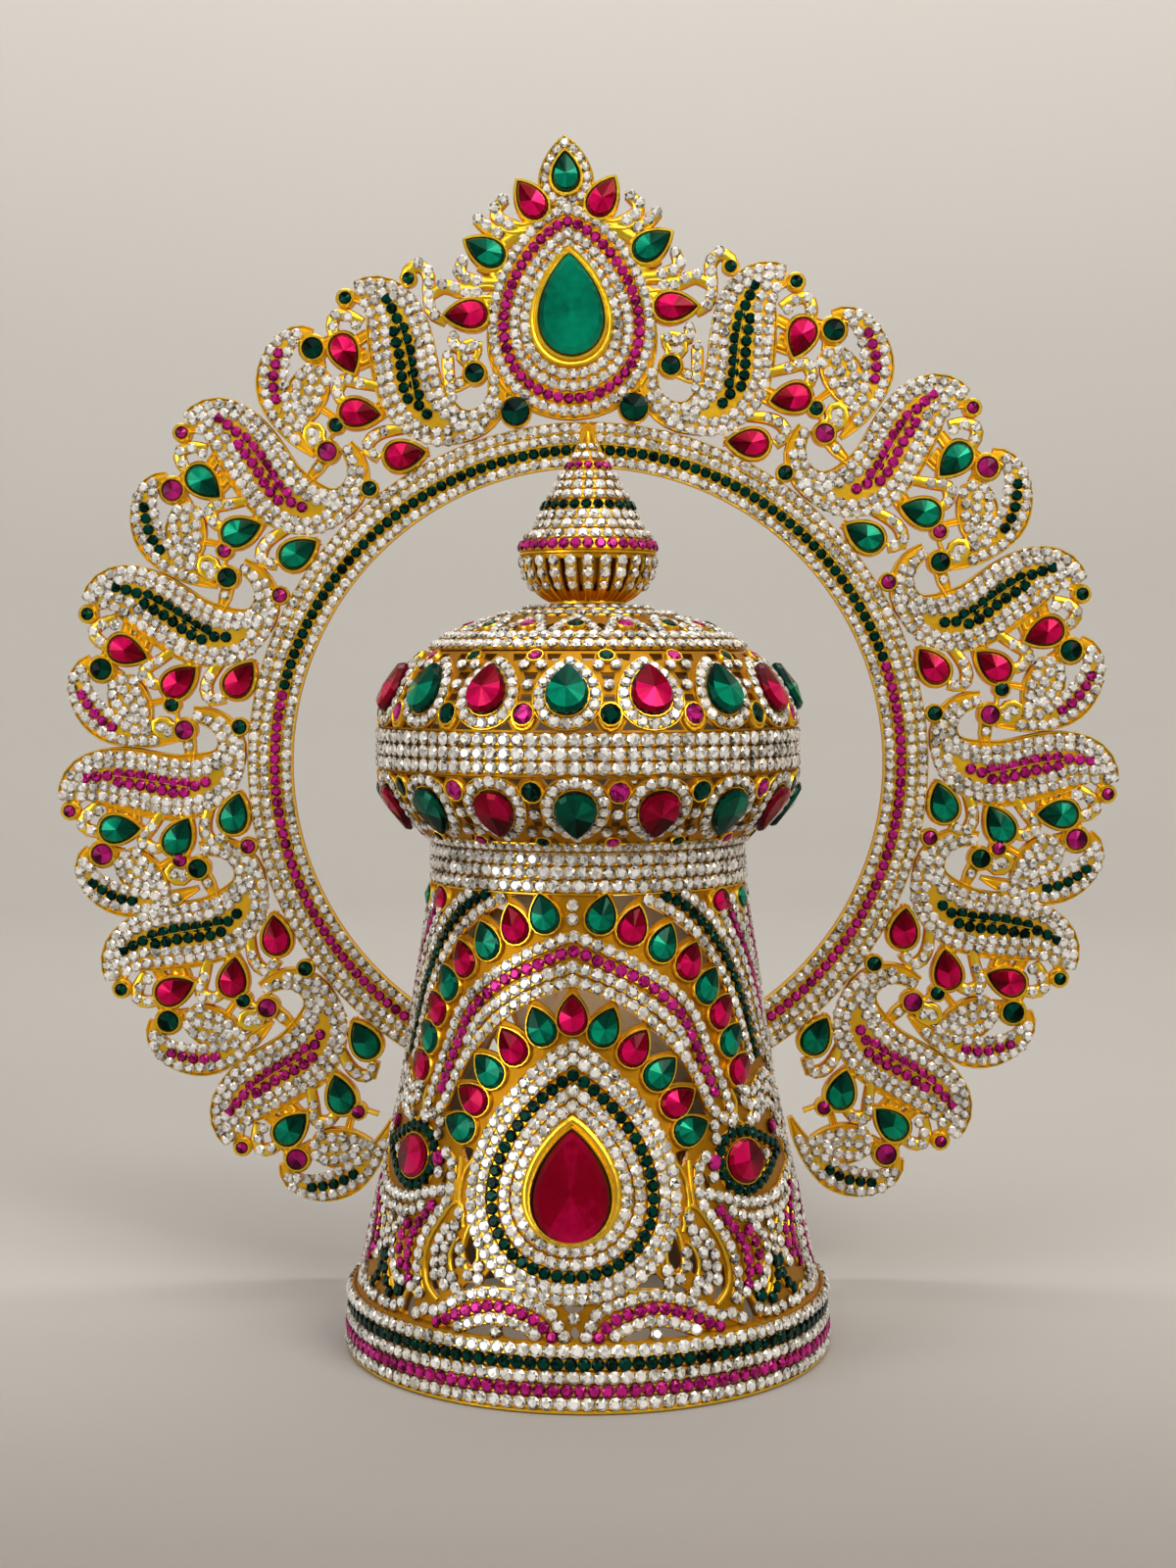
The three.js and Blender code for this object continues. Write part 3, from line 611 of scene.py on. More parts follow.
# ------------------------------------------------------------------ placing
@dataclass(frozen=True)
class Region:
    """One copy of a pattern: a side of the crown's face, or a plaque of the halo."""

    surface: Surface
    side: int = 1
    base: float = 0.0
    spread: float = 1.0
    drift: tuple[Pair, ...] = ((0.0, 0.0),)

    def turn(self, local: Array, reach: Array) -> Array:
        """Turns on the surface for the pattern's own turns."""
        low = [row[0] for row in self.drift]
        moved = np.interp(reach, low, [row[1] for row in self.drift])
        return moved + self.side * (self.base + np.asarray(local, float) * self.spread)

    def course(self, rows: tuple[tuple[float, ...], ...], half: float = 0.5, closed: bool = False,
               across: bool = False) -> Course:
        """A smooth line through rows of turn and reach.

        Args:
            rows: Turn, reach and, if it changes, half of the width.
            half: Half of the width where the rows give none.
            closed: Whether the line returns to its start.
            across: Whether the line goes on over the pattern's middle to the other side.

        Returns:
            The line on the surface.
        """
        table = np.array([row if len(row) > 2 else (*row, half) for row in rows], float)
        if across:
            other = table[::-1] * np.array([-1.0, 1.0, 1.0])
            table = np.concatenate([other[: -1 if table[0, 0] == 0 else None], table])
        fine = smooth_rows(table, closed)
        return Course(self.surface, self.turn(fine[:, 0], fine[:, 1]), fine[:, 1], fine[:, 2], closed)

    def loop(self, anchor: Triple, outline: Array, half: float) -> Course:
        """A closed line round a place.

        Args:
            anchor: Turn, reach and lean of the place.
            outline: Points about it in millimetres.
            half: Half of the line's width.

        Returns:
            The line on the surface.
        """
        local, reach, lean = anchor
        turn = float(self.turn(local, reach))
        moves = leaned(outline, self.side * lean)
        turns, reaches = self.surface.shifted(turn, reach, moves)
        return Course(self.surface, turns, reaches, np.full(len(turns), half), True)

    def seat(self, anchor: Triple) -> tuple[Array, Array, Array, Array]:
        """Middle and axes of a stone at a place with a lean, the second axis along its point."""
        local, reach, lean = anchor
        turn = np.array([float(self.turn(local, reach))])
        spot = self.surface.points(turn, np.array([reach]))[0]
        across, up, out = (axis[0] for axis in self.surface.axes(turn, np.array([reach])))
        angle = math.radians(self.side * lean)
        tip = up * math.cos(angle) + across * math.sin(angle)
        return spot, np.cross(tip, out), tip, out


# ------------------------------------------------------------------ cast metal
Section = tuple[tuple[float, float, float, float], ...]


def even(*rows: tuple[float, float, float, float]) -> Section:
    """A section from its left half; a row in the middle is used once."""
    return rows + tuple((-share, *rest) for share, *rest in reversed(rows) if share)


# Each row: share of the half width, inset from there, height, and its lift: how polished it is and how much
# painted shade (low) or painted highlight (high) its gold gets.
ROW = even((-1, 0, -0.7, 0.0), (-1, 0, 0.15, 0.4), (-1, 0.3, 0.5, 0.95), (0, 0, 0.42, 0.35))
WIRE = even((-1, 0, -0.7, 0.1), (-0.85, 0, 0.3, 0.6), (-0.35, 0, 0.65, 1.0))
BEZEL: Section = ((-1, 0, -0.8, 0.1), (-0.95, 0, 0.6, 0.6), (-0.4, 0, 1.0, 1.0), (0.3, 0, 1.0, 1.0),
                  (0.9, 0, 0.5, 0.8), (1, 0, -0.8, 0.1))
PLATE = even((-1, 0, -PLATE_DEPTH, 0.15), (-1, 0, -0.4, 0.5), (-1, 0.2, 0.15, 1.0), (-1, 0.5, 0.12, 0.95),
             (-1, 0.8, -0.35, 0.4), (0, 0, -0.2, 0.75))
STEM = even((-1, 0, -PLATE_DEPTH, 0.15), (-1, 0, -0.5, 0.4), (-0.75, 0, 0.05, 0.9), (0, 0, 0.3, 1.0))


def raise_face(mesh: bmesh.types.BMesh, face: bmesh.types.BMFace,
               back: bmesh.types.BMFace) -> tuple[list[bmesh.types.BMVert], bmesh.types.BMFace]:
    """Extrudes a face, and removes the old one unless it is the back that closes the shape.

    Args:
        mesh: Mesh of the shape.
        face: The face.
        back: Face that stays.

    Returns:
        The corners of the new face, and the face.
    """
    found = bmesh.ops.extrude_face_region(mesh, geom=[face])["geom"]
    if face is not back:
        mesh.faces.remove(face)
    verts = [item for item in found if isinstance(item, bmesh.types.BMVert)]
    return verts, next(item for item in found if isinstance(item, bmesh.types.BMFace))


def linked(name: str, data: bpy.types.ID) -> bpy.types.Object:
    """Makes an object of its data and links it to the scene."""
    item = bpy.data.objects.new(name, data)
    bpy.context.scene.collection.objects.link(item)
    return item


class Metalwork:
    """Cast metal gathered in one mesh, with a lift at each point: how polished it is and how much painted shade
    or painted highlight its colour gets.
    """

    def __init__(self) -> None:
        """Starts an empty mesh."""
        self.mesh = bmesh.new()
        self.lift = self.mesh.verts.layers.float.new("lift")

    def tube(self, rings: Array, lifts: Array, closed: bool) -> None:
        """Adds a tube through rings of points: a grid that is bent round.

        Args:
            rings: Points as ring, place in the ring, axis, in millimetres.
            lifts: Lift of each place in a ring: how polished it is and how much painted shade or painted
                highlight it gets.
            closed: Whether the last ring meets the first.
        """
        rings = np.concatenate([rings, rings[:, :1]], 1)
        if closed:
            rings = np.concatenate([rings, rings[:1]], 0)
        count, width = rings.shape[:2]
        grid = bmesh.ops.create_grid(self.mesh, x_segments=width - 1, y_segments=count - 1, size=1)
        values = np.tile(np.append(lifts, lifts[0]), count)
        for vertex, place, value in zip(grid["verts"], rings.reshape(-1, 3) * MM, values):
            vertex.co = place
            vertex[self.lift] = value

    def ribbon(self, course: Course, section: Section, step: float = 2.2, above: float = 0.0,
               tall: float = 1.0) -> None:
        """Lays a ribbon of metal along a line.

        Args:
            course: The line, with its half widths.
            section: The ribbon's section.
            step: Distance between its rings.
            above: Height that is added.
            tall: Factor on the section's heights.
        """
        line = course.spaced(step)
        points = line.surface.points(line.turn, line.reach)
        _, _, out = line.surface.axes(line.turn, line.reach)
        if line.closed:
            along = np.roll(points, -1, 0) - np.roll(points, 1, 0)
        else:
            along = np.gradient(points, axis=0)
        side = np.cross(out, along)
        side /= np.linalg.norm(side, axis=1)[:, None]
        rows = np.array(section, float)
        half = line.half[:, None]
        inset = np.minimum(rows[None, :, 1], half * 0.75)
        width = rows[None, :, 0] * half - np.sign(rows[None, :, 0]) * inset
        height = rows[:, 2] * tall + above
        rings = points[:, None] + side[:, None] * width[..., None] + out[:, None] * height[None, :, None]
        self.tube(rings, rows[:, 3], line.closed)

    def pad(self, points: Array, out: Array, top: float, deep: float, edge: float = 0.3) -> None:
        """Adds a filled plate with a softened edge.

        Args:
            points: Its outline in millimetres.
            out: Direction that it faces.
            top: Height of its face above the outline.
            deep: Depth of its back below the outline.
            edge: Width of the soft edge.
        """
        towards = Vector(out)
        ring = [self.mesh.verts.new((Vector(point) - towards * deep) * MM) for point in points]
        # The back gets lift 0.2, painted shade; the side 0.6, the soft edge 1.0, a painted highlight, and the
        # face 0.35, nearly the gold's own colour.
        for vertex in ring:
            vertex[self.lift] = 0.2
        base = back = self.mesh.faces.new(ring)
        for rise, shrink, value in ((deep + top - edge, 0.0, 0.6), (edge, edge, 1.0), (0.0, 0.5, 0.35)):
            verts, base = raise_face(self.mesh, base, back)
            middle = sum((vertex.co for vertex in verts), Vector()) / len(verts)
            for vertex in verts:
                reach = (vertex.co - middle).length
                vertex.co = middle + (vertex.co - middle) * max(0.1, 1 - shrink * MM / max(reach, 1e-6))
                vertex[self.lift] = value
            bmesh.ops.translate(self.mesh, verts=verts, vec=towards * rise * MM)

    def plate(self, edge: Course, top: float, deep: float = PLATE_DEPTH) -> None:
        """Adds a filled plate of the halo inside an edge."""
        self.pad(edge.surface.points(edge.turn, edge.reach), FORWARD, top, deep)

    def turned(self, rows: tuple[Triple, ...], steps: int) -> None:
        """Adds a turned wall from its closed section.

        Args:
            rows: Height, radius and lift (polish and painted shade or highlight) round the section.
            steps: Facets round the axis.
        """
        ring = []
        for height, radius, value in rows:
            vertex = self.mesh.verts.new((0.0, -radius * MM, height * MM))
            vertex[self.lift] = value
            ring.append(vertex)
        edges = [self.mesh.edges.new((a, b)) for a, b in zip(ring, ring[1:] + ring[:1])]
        bmesh.ops.spin(self.mesh, geom=ring + edges, cent=(0, 0, 0), axis=(0, 0, 1), dvec=(0, 0, 0),
                       angle=FULL_TURN, steps=steps, use_merge=True, use_duplicate=False)

    def closed(self) -> None:
        """Merges the seams, closes the ends and turns every face outwards."""
        bmesh.ops.remove_doubles(self.mesh, verts=self.mesh.verts, dist=1e-7)
        open_edges = [edge for edge in self.mesh.edges if edge.is_boundary]
        if open_edges:
            bmesh.ops.holes_fill(self.mesh, edges=open_edges, sides=0)
        bmesh.ops.recalc_face_normals(self.mesh, faces=self.mesh.faces)

    def cut(self, openings: list[tuple[Array, Array]], edge_lift: float = 0.2) -> None:
        """Cuts straight openings through what is there so far.

        Args:
            openings: Corners of each opening in millimetres, and the direction that it faces.
            edge_lift: Lift of the cut edges: how polished they are and how much painted shade they get.
        """
        self.closed()
        known = {tuple(round(c, 7) for c in vertex.co) for vertex in self.mesh.verts}
        wall = bpy.data.meshes.new("wall")
        self.mesh.to_mesh(wall)
        cutters = bmesh.new()
        for corners, out in openings:
            towards = Vector(out)
            ring = [cutters.verts.new((Vector(corner) - towards * 7.0) * MM) for corner in corners]
            lid = bmesh.ops.extrude_face_region(cutters, geom=[cutters.faces.new(ring)])["geom"]
            verts = [item for item in lid if isinstance(item, bmesh.types.BMVert)]
            bmesh.ops.translate(cutters, verts=verts, vec=towards * 11.0 * MM)
        bmesh.ops.recalc_face_normals(cutters, faces=cutters.faces)
        tool = bpy.data.meshes.new("openings")
        cutters.to_mesh(tool)
        cutters.free()
        body, blades = linked("wall", wall), linked("openings", tool)
        modifier = body.modifiers.new("openings", "BOOLEAN")
        modifier.object, modifier.operation, modifier.solver = blades, "DIFFERENCE", "EXACT"
        result = bpy.data.meshes.new_from_object(body.evaluated_get(bpy.context.evaluated_depsgraph_get()))
        self.mesh.clear()
        self.mesh.from_mesh(result)
        self.lift = self.mesh.verts.layers.float.get("lift") or self.mesh.verts.layers.float.new("lift")
        for vertex in self.mesh.verts:
            if tuple(round(c, 7) for c in vertex.co) not in known:
                vertex[self.lift] = edge_lift
        for item in (body, blades):
            bpy.data.objects.remove(item)
        for mesh in (wall, tool, result):
            bpy.data.meshes.remove(mesh)

    def piece(self, name: str) -> bpy.types.Object:
        """Writes the mesh as an object with smooth faces and sharp creases.

        Args:
            name: Name of the object.

        Returns:
            The object, at the origin.
        """
        self.closed()
        mesh = bpy.data.meshes.new(name)
        self.mesh.to_mesh(mesh)
        self.mesh.free()
        mesh.shade_smooth()
        mesh.set_sharp_from_angle(angle=math.radians(42))
        return linked(name, mesh)


# ------------------------------------------------------------------ stones
@dataclass(frozen=True)
class Cut:
    """Facets of a stone one unit in half width and half length, and how bright each one is painted, as painted
    reflection and shade.
    """

    vertices: Array
    triangles: Array
    bright: Array
    play: float


def cut_from(mesh: bmesh.types.BMesh, bright: object, play: float) -> Cut:
    """Reads a cut from its mesh.

    Args:
        mesh: Mesh of the stone, which is freed.
        bright: Function from a facet to its painted brightness, which stands for reflection and shade.
        play: How far the painted brightness changes from stone to stone.

    Returns:
        The cut.
    """
    bmesh.ops.triangulate(mesh, faces=mesh.faces)
    bmesh.ops.recalc_face_normals(mesh, faces=mesh.faces)
    mesh.normal_update()
    mesh.verts.index_update()
    vertices = np.array([vertex.co for vertex in mesh.verts])
    triangles = np.array([[vertex.index for vertex in facet.verts] for facet in mesh.faces])
    values = np.array([bright(facet) for facet in mesh.faces])
    mesh.free()
    return Cut(vertices, triangles, values, play)


def round_cut() -> Cut:
    """A small round stone: eight sides and a turned table, so that its crown breaks into facets.

    Returns:
        The cut.
    """
    mesh = bmesh.new()
    base = bmesh.ops.create_circle(mesh, cap_ends=True, segments=8, radius=1.0)["verts"]
    bmesh.ops.translate(mesh, verts=base, vec=(0, 0, -0.3))
    face = back = next(iter(mesh.faces))
    for rise, grow, spin in ((0.5, 1.03, 0.0), (0.32, 0.6, math.radians(22.5))):
        verts, face = raise_face(mesh, face, back)
        bmesh.ops.translate(mesh, verts=verts, vec=(0, 0, rise))
        bmesh.ops.scale(mesh, verts=verts, vec=(grow, grow, 1.0))
        bmesh.ops.rotate(mesh, verts=verts, cent=(0, 0, 0), matrix=Matrix.Rotation(spin, 3, "Z"))

    def bright(facet: bmesh.types.BMFace) -> float:
        """Painted brightness of a facet: a painted reflection on the table, a mix on the crown and painted
        shade on the girdle.
        """
        if facet.normal.z > 0.9:
            return 0.84
        return 0.52 if facet.normal.z > 0.3 else 0.1

    return cut_from(mesh, bright, 0.26)


def gem_cut(outline: Array, contrast: float = 0.36, level: float = 0.5, flat: bool = False) -> Cut:
    """A large stone: a girdle painted dark as shade, a narrow crown and facets that meet over its middle.

    Args:
        outline: Outline with half width and half length of one.
        contrast: How far the painted brightness of its facets differs.
        level: Their mean painted brightness.
        flat: Whether its facets are so low that it looks like one broad table.

    Returns:
        The cut.
    """
    mesh = bmesh.new()
    face = back = mesh.faces.new([mesh.verts.new((x, y, 0.0)) for x, y in outline])
    for rise, shrink in ((0.3, 1.0), (0.34, 0.86)):
        verts, face = raise_face(mesh, face, back)
        bmesh.ops.translate(mesh, verts=verts, vec=(0, 0, rise))
        bmesh.ops.scale(mesh, verts=verts, vec=(shrink, shrink, 1.0))
    apex = bmesh.ops.poke(mesh, faces=[face])["verts"]
    bmesh.ops.translate(mesh, verts=apex, vec=(0, -0.06, 0.04 if flat else 0.3))

    def bright(facet: bmesh.types.BMFace) -> float:
        """Painted brightness of a facet: painted shade low down, and a painted reflection that is brighter on
        facets that face one way.
        """
        middle = facet.calc_center_median()
        if middle.z < 0.32:
            return 0.08
        angle = math.atan2(middle.y, middle.x)
        if flat:
            wave = 0.6 * math.cos(angle - 5.4) - math.cos(2 * angle)
            return level + contrast * wave * (2.2 if facet.normal.z < 0.95 else 1.0)
        angle = (math.floor(angle * 4 / math.pi) + 0.5) * math.pi / 4
        wave = 0.75 * math.tanh(3 * math.cos(angle - 4.9)) + 0.35 * math.tanh(3 * math.sin(2 * angle + 0.6))
        return (0.2 if middle.z < 0.62 else level) + contrast * wave

    return cut_from(mesh, bright, 0.008 if flat else 0.05)


class StoneTray:
    """Stones of one colour, which are written as one joined mesh."""

    def __init__(self, seed: int) -> None:
        """Starts an empty tray with a seed for the small differences between stones."""
        self.random = np.random.default_rng(seed)
        self.vertices: list[Array] = []
        self.triangles: list[Array] = []
        self.values: list[Array] = []
        self.count = 0
        self.stones = 0

    def add(self, cut: Cut, spots: Array, axes: tuple[Array, Array, Array], size: Array, tilt: float) -> None:
        """Adds stones of one cut.

        Args:
            cut: The cut.
            spots: Middle of each stone in millimetres.
            axes: Directions across, along and out of each stone.
            size: Half width, half length and rise of each stone.
            tilt: How far a stone may lean, as a slope.
        """
        count = len(spots)
        across, along, out = (np.array(axis, float) for axis in axes)
        lean = self.random.normal(0, tilt, (count, 2)) if tilt else np.zeros((count, 2))
        out = out + across * lean[:, :1] + along * lean[:, 1:]
        out /= np.linalg.norm(out, axis=1)[:, None]
        along = np.cross(out, across)
        along /= np.linalg.norm(along, axis=1)[:, None]
        across = np.cross(along, out)
        if tilt:
            spin = self.random.uniform(0, FULL_TURN, (count, 1))
            across, along = (across * np.cos(spin) + along * np.sin(spin),
                             along * np.cos(spin) - across * np.sin(spin))
        scaled = cut.vertices[None] * np.asarray(size, float)[:, None]
        placed = (spots[:, None] + scaled[..., :1] * across[:, None] + scaled[..., 1:2] * along[:, None]
                  + scaled[..., 2:] * out[:, None])
        offsets = self.count + np.arange(count) * len(cut.vertices)
        values = cut.bright[None] + self.random.normal(0, cut.play, (count, len(cut.bright)))
        values += self.random.normal(0, cut.play * 0.4, (count, 1))
        self.vertices.append(placed.reshape(-1, 3))
        self.triangles.append((cut.triangles[None] + offsets[:, None, None]).reshape(-1, 3))
        self.values.append(np.clip(values, 0, 1).reshape(-1))
        self.count += count * len(cut.vertices)
        self.stones += count

    def single(self, region: Region, anchor: Triple, cut: Cut, size: Triple, above: float) -> None:
        """Adds one large stone that doesn't lean.

        Args:
            region: Where its pattern lies.
            anchor: Its turn, reach and lean.
            cut: Its cut.
            size: Its width, length and rise.
            above: Height of its base over the surface.
        """
        spot, across, tip, out = region.seat(anchor)
        scale = np.array([[size[0] / 2, size[1] / 2, size[2]]])
        self.add(cut, (spot + out * above)[None], (across[None], tip[None], out[None]), scale, 0.0)

    def piece(self, name: str) -> bpy.types.Object:
        """Writes the stones as one object with flat facets.

        Args:
            name: Name of the object.

        Returns:
            The object, at the origin.
        """
        vertices, triangles = np.concatenate(self.vertices) * MM, np.concatenate(self.triangles)
        mesh = bpy.data.meshes.new(name)
        mesh.vertices.add(len(vertices))
        mesh.vertices.foreach_set("co", vertices.astype(np.float32).ravel())
        mesh.loops.add(triangles.size)
        mesh.loops.foreach_set("vertex_index", triangles.astype(np.int32).ravel())
        mesh.polygons.add(len(triangles))
        mesh.polygons.foreach_set("loop_start", np.arange(0, triangles.size, 3, dtype=np.int32))
        facet = mesh.attributes.new("facet", "FLOAT", "FACE")
        facet.data.foreach_set("value", np.concatenate(self.values).astype(np.float32))
        mesh.update(calc_edges=True)
        mesh.shade_flat()
        return linked(name, mesh)


# ------------------------------------------------------------------ bench
class Bench:
    """Finishes the pieces: their material, their body and the nodes they stand for."""

    def __init__(self, paints: Paints) -> None:
        """Keeps the materials and makes the cuts that every sub-assembly shares."""
        self.paints = paints
        self.round = round_cut()
        self.drop = gem_cut(drop_outline(2.0, 2.0, 18), 0.3)
        self.oval = gem_cut(oval_outline(2.0, 2.0, 14))
        self.calm_drop = gem_cut(drop_outline(2.0, 2.0, 24), 0.06, 0.5, True)
        # Level sets how bright a cut's painted reflection is: these two drops are painted brighter and darker
        # than the others.
        self.brighter_painted_drop = gem_cut(drop_outline(2.0, 2.0, 24), 0.05, 0.68, True)
        self.darker_painted_drop = gem_cut(drop_outline(2.0, 2.0, 18), 0.3, 0.34)
        self.pieces = 0
        self.triangles = 0

    def done(self, item: bpy.types.Object, material: bpy.types.Material, slot: Slot, *nodes: str) -> None:
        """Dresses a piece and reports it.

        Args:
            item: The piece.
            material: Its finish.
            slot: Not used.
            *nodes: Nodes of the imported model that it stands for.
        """
        item.data.materials.append(material)
        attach(item, "root")
        if nodes:
            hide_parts(*nodes)
        triangles = sum(len(face.vertices) - 2 for face in item.data.polygons)
        self.pieces += 1
        self.triangles += triangles
        LOG.info("%-40s %7d triangles", item.name, triangles)

    def metal(self, work: Metalwork, name: str, *nodes: str, bright: bool = False) -> None:
        """Finishes cast metal, in the halo's gold, a copy painted brighter to stand for more light, if asked.
        """
        paint = self.paints.painted_lit_gold if bright else self.paints.gold
        self.done(work.piece(name), paint, Slot.GOLD, *nodes)

    def gem(self, region: Region, anchor: Triple, cut: Cut,
            size: Triple, above: float, gem: Gem, name: str, *nodes: str) -> None:
        """Finishes one large stone as a piece of its own.

        Args:
            region: Where its pattern lies.
            anchor: Its turn, reach and lean.
            cut: Its cut.
            size: Its width, length and rise.
            above: Height of its base over the surface.
            gem: Its kind.
            name: Name of the piece.
            *nodes: Nodes that it stands for.
        """
        tray = StoneTray(len(name) * 7 + ord(name[-1]))
        tray.single(region, anchor, cut, size, above)
        self.done(tray.piece(name), self.paints.stones[gem], STONE_FINISHES[gem].slot, *nodes)


class StoneSet:
    """Stones of one sub-assembly, a tray for each kind."""

    def __init__(self, bench: Bench, prefix: str, seed: int) -> None:
        """Keeps the bench, the first words of the pieces' names and a seed."""
        self.bench = bench
        self.prefix = prefix
        self.trays = {gem: StoneTray(seed * 10 + i) for i, gem in enumerate(Gem)}

    def row(self, course: Course, gem: Gem, radius: float = 1.55, pitch: float = 3.12,
            above: float = 0.5) -> None:
        """Sets a row of small round stones along a line.

        Args:
            course: The line.
            gem: Kind of stone.
            radius: Radius of a stone.
            pitch: Wanted distance between stones.
            above: Height of a stone's base over the surface.
        """
        line = course.spaced(pitch)
        self.spread(line.surface, line.turn, line.reach, gem, radius, above)

    def spread(self, surface: Surface, turn: Array, reach: Array, gem: Gem, radius: float,
               above: float) -> None:
        """Sets small round stones at given turns and reaches of a surface."""
        across, along, out = surface.axes(turn, reach)
        spots = surface.points(turn, reach) + out * above
        size = np.tile([radius, radius, min(radius, 1.5)], (len(spots), 1))
        self.trays[gem].add(self.bench.round, spots, (across, along, out), size, 0.05)

    def circle(self, surface: Surface, reach: float, number: int, start: float, gem: Gem, radius: float,
               above: float = 0.5) -> None:
        """Sets a level row of small round stones right round a surface."""
        turn = np.arange(number) * 360 / number + start
        self.spread(surface, turn, np.full(number, reach), gem, radius, above)

    def singles(self, region: Region, places: tuple[Pair, ...], gem: Gem, radius: float = 1.5,
                above: float = 0.5) -> None:
        """Sets small round stones at places of a pattern."""
        table = np.array(places, float)
        self.spread(region.surface, region.turn(table[:, 0], table[:, 1]), table[:, 1], gem, radius, above)

    def large(self, region: Region, anchor: Triple, cut: Cut,
              size: Triple, above: float, gem: Gem) -> None:
        """Sets one large stone that is joined to its neighbours' mesh."""
        self.trays[gem].single(region, anchor, cut, size, above)

    def finish(self) -> None:
        """Writes each tray that holds stones."""
        for gem, tray in self.trays.items():
            if tray.stones:
                item = tray.piece(f"{self.prefix}_{gem.value}_stones")
                self.bench.done(item, self.bench.paints.stones[gem], STONE_FINISHES[gem].slot)


# ------------------------------------------------------------------ crown body
@dataclass(frozen=True)
class Chain:
    """A row of small stones on a raised ribbon of the crown body."""

    gem: Gem
    rows: tuple[Pair, ...]
    across: bool = False


@dataclass(frozen=True)
class SetDrop:
    """A drop stone of an arch: its turn, height, lean and kind."""

    turn: float
    reach: float
    lean: float
    gem: Gem


R, E = Gem.RUBY, Gem.EMERALD
ARCH_CHAINS = (
    Chain(W, ((0, 112.7), (7.8, 110.6), (15.3, 108.2), (22.7, 104.8), (30.1, 101.1), (36.0, 97.1),
              (40.4, 92.5), (43.3, 86.6), (46.1, 80.6), (48.6, 74.6), (50.2, 69.6), (51.6, 65.8)), True),
    Chain(M, ((0, 109.1), (7.5, 107.0), (15.7, 104.3), (22.9, 101.6), (29.6, 97.5), (35.4, 92.7),
              (38.6, 87.0), (41.1, 82.1), (43.3, 76.8), (44.9, 73.0)), True),
    Chain(W, ((0, 105.3), (7.4, 103.6), (15.0, 101.1), (22.2, 97.5), (28.4, 93.9), (33.4, 89.6),
              (35.6, 86.0))),
    Chain(W, ((0, 102.0), (7.2, 100.2), (14.9, 97.6), (22.1, 93.9), (27.7, 89.8), (33.2, 85.0),
              (37.4, 80.1), (40.3, 75.0), (43.1, 69.6), (46.4, 66.8), (50.4, 65.0))),
    Chain(W, ((26.6, 121.4), (31.2, 119.9), (36.0, 117.8), (40.8, 115.2), (45.8, 111.7), (50.2, 107.5),
              (53.8, 103.4), (57.2, 98.6), (59.9, 93.8), (62.0, 88.9), (63.9, 84.0), (65.2, 79.0))),
    Chain(G, ((33.4, 122.0), (38.0, 120.7), (42.2, 118.7), (48.7, 114.6), (54.2, 109.8), (58.6, 104.6),
              (62.2, 98.9), (65.2, 92.2), (67.6, 86.0), (69.6, 80.0))),
    Chain(W, ((41.2, 122.2), (46.0, 120.2), (52.4, 116.4), (58.0, 111.2), (62.7, 105.6), (66.5, 99.7),
              (69.7, 92.6), (72.3, 86.2), (74.4, 79.8))),
    Chain(W, ((59.6, 116.6), (63.0, 112.2), (67.3, 107.6), (71.2, 102.6), (74.2, 96.6), (76.9, 90.0),
              (79.0, 83.6), (80.6, 77.4))),
    Chain(M, ((63.6, 118.2), (67.4, 112.4), (71.6, 107.2), (75.2, 101.8), (78.2, 95.6), (80.6, 89.4))),
    Chain(W, ((67.6, 119.8), (71.4, 114.2), (75.6, 109.2), (79.2, 103.6), (82.2, 97.4), (84.6, 91.0),
              (85.2, 84.6), (84.6, 78.0))),
    Chain(W, ((56.0, 73.0), (60.6, 71.2), (65.4, 71.6), (70.2, 73.8), (74.6, 74.2), (79.0, 71.8),
              (83.8, 70.6))),
    Chain(W, ((57.2, 69.6), (61.6, 67.6), (66.2, 68.2), (70.6, 70.4), (74.8, 70.6), (79.0, 68.2),
              (84.0, 67.2))),
    Chain(W, ((59.2, 64.2), (63.8, 64.8), (68.2, 66.6), (72.0, 67.0), (75.6, 65.2), (79.0, 62.0),
              (84.2, 61.2))),
)
SWIRL_CHAINS = (
    Chain(W, ((38.9, 57.8), (36.4, 55.8), (35.6, 52.8), (35.4, 49.2), (36.1, 46.5), (37.9, 44.0),
              (40.2, 40.8), (42.2, 37.5), (43.3, 34.7), (43.6, 32.0), (43.7, 29.3), (43.1, 26.7),
              (41.8, 23.6))),
    Chain(W, ((38.5, 48.9), (41.4, 48.0), (45.0, 47.1), (48.2, 45.8), (51.6, 45.1), (55.4, 44.6),
              (59.6, 44.4))),
    Chain(M, ((41.3, 44.6), (43.4, 41.8), (45.6, 39.2), (47.1, 36.4), (48.2, 33.6), (48.0, 30.8),
              (47.5, 28.4), (46.5, 26.0))),
    Chain(M, ((50.4, 38.5), (52.0, 35.5), (52.3, 32.3), (51.0, 29.0))),
    Chain(W, ((45.4, 43.9), (48.6, 42.4), (51.8, 41.5), (55.2, 41.2), (58.9, 41.3))),
    Chain(W, ((53.4, 38.9), (55.6, 36.6), (56.3, 33.6), (55.7, 30.6), (53.8, 27.8))),
    Chain(G, ((58.7, 29.0), (58.4, 26.0), (56.9, 23.2), (54.4, 21.1))),
    Chain(W, ((48.2, 19.9), (51.2, 18.5), (54.3, 18.0), (57.4, 18.2))),
    Chain(W, ((59.6, 38.2), (59.6, 35.1), (59.6, 32.0))),
    Chain(W, ((39.4, 20.2), (42.2, 18.6))),
)
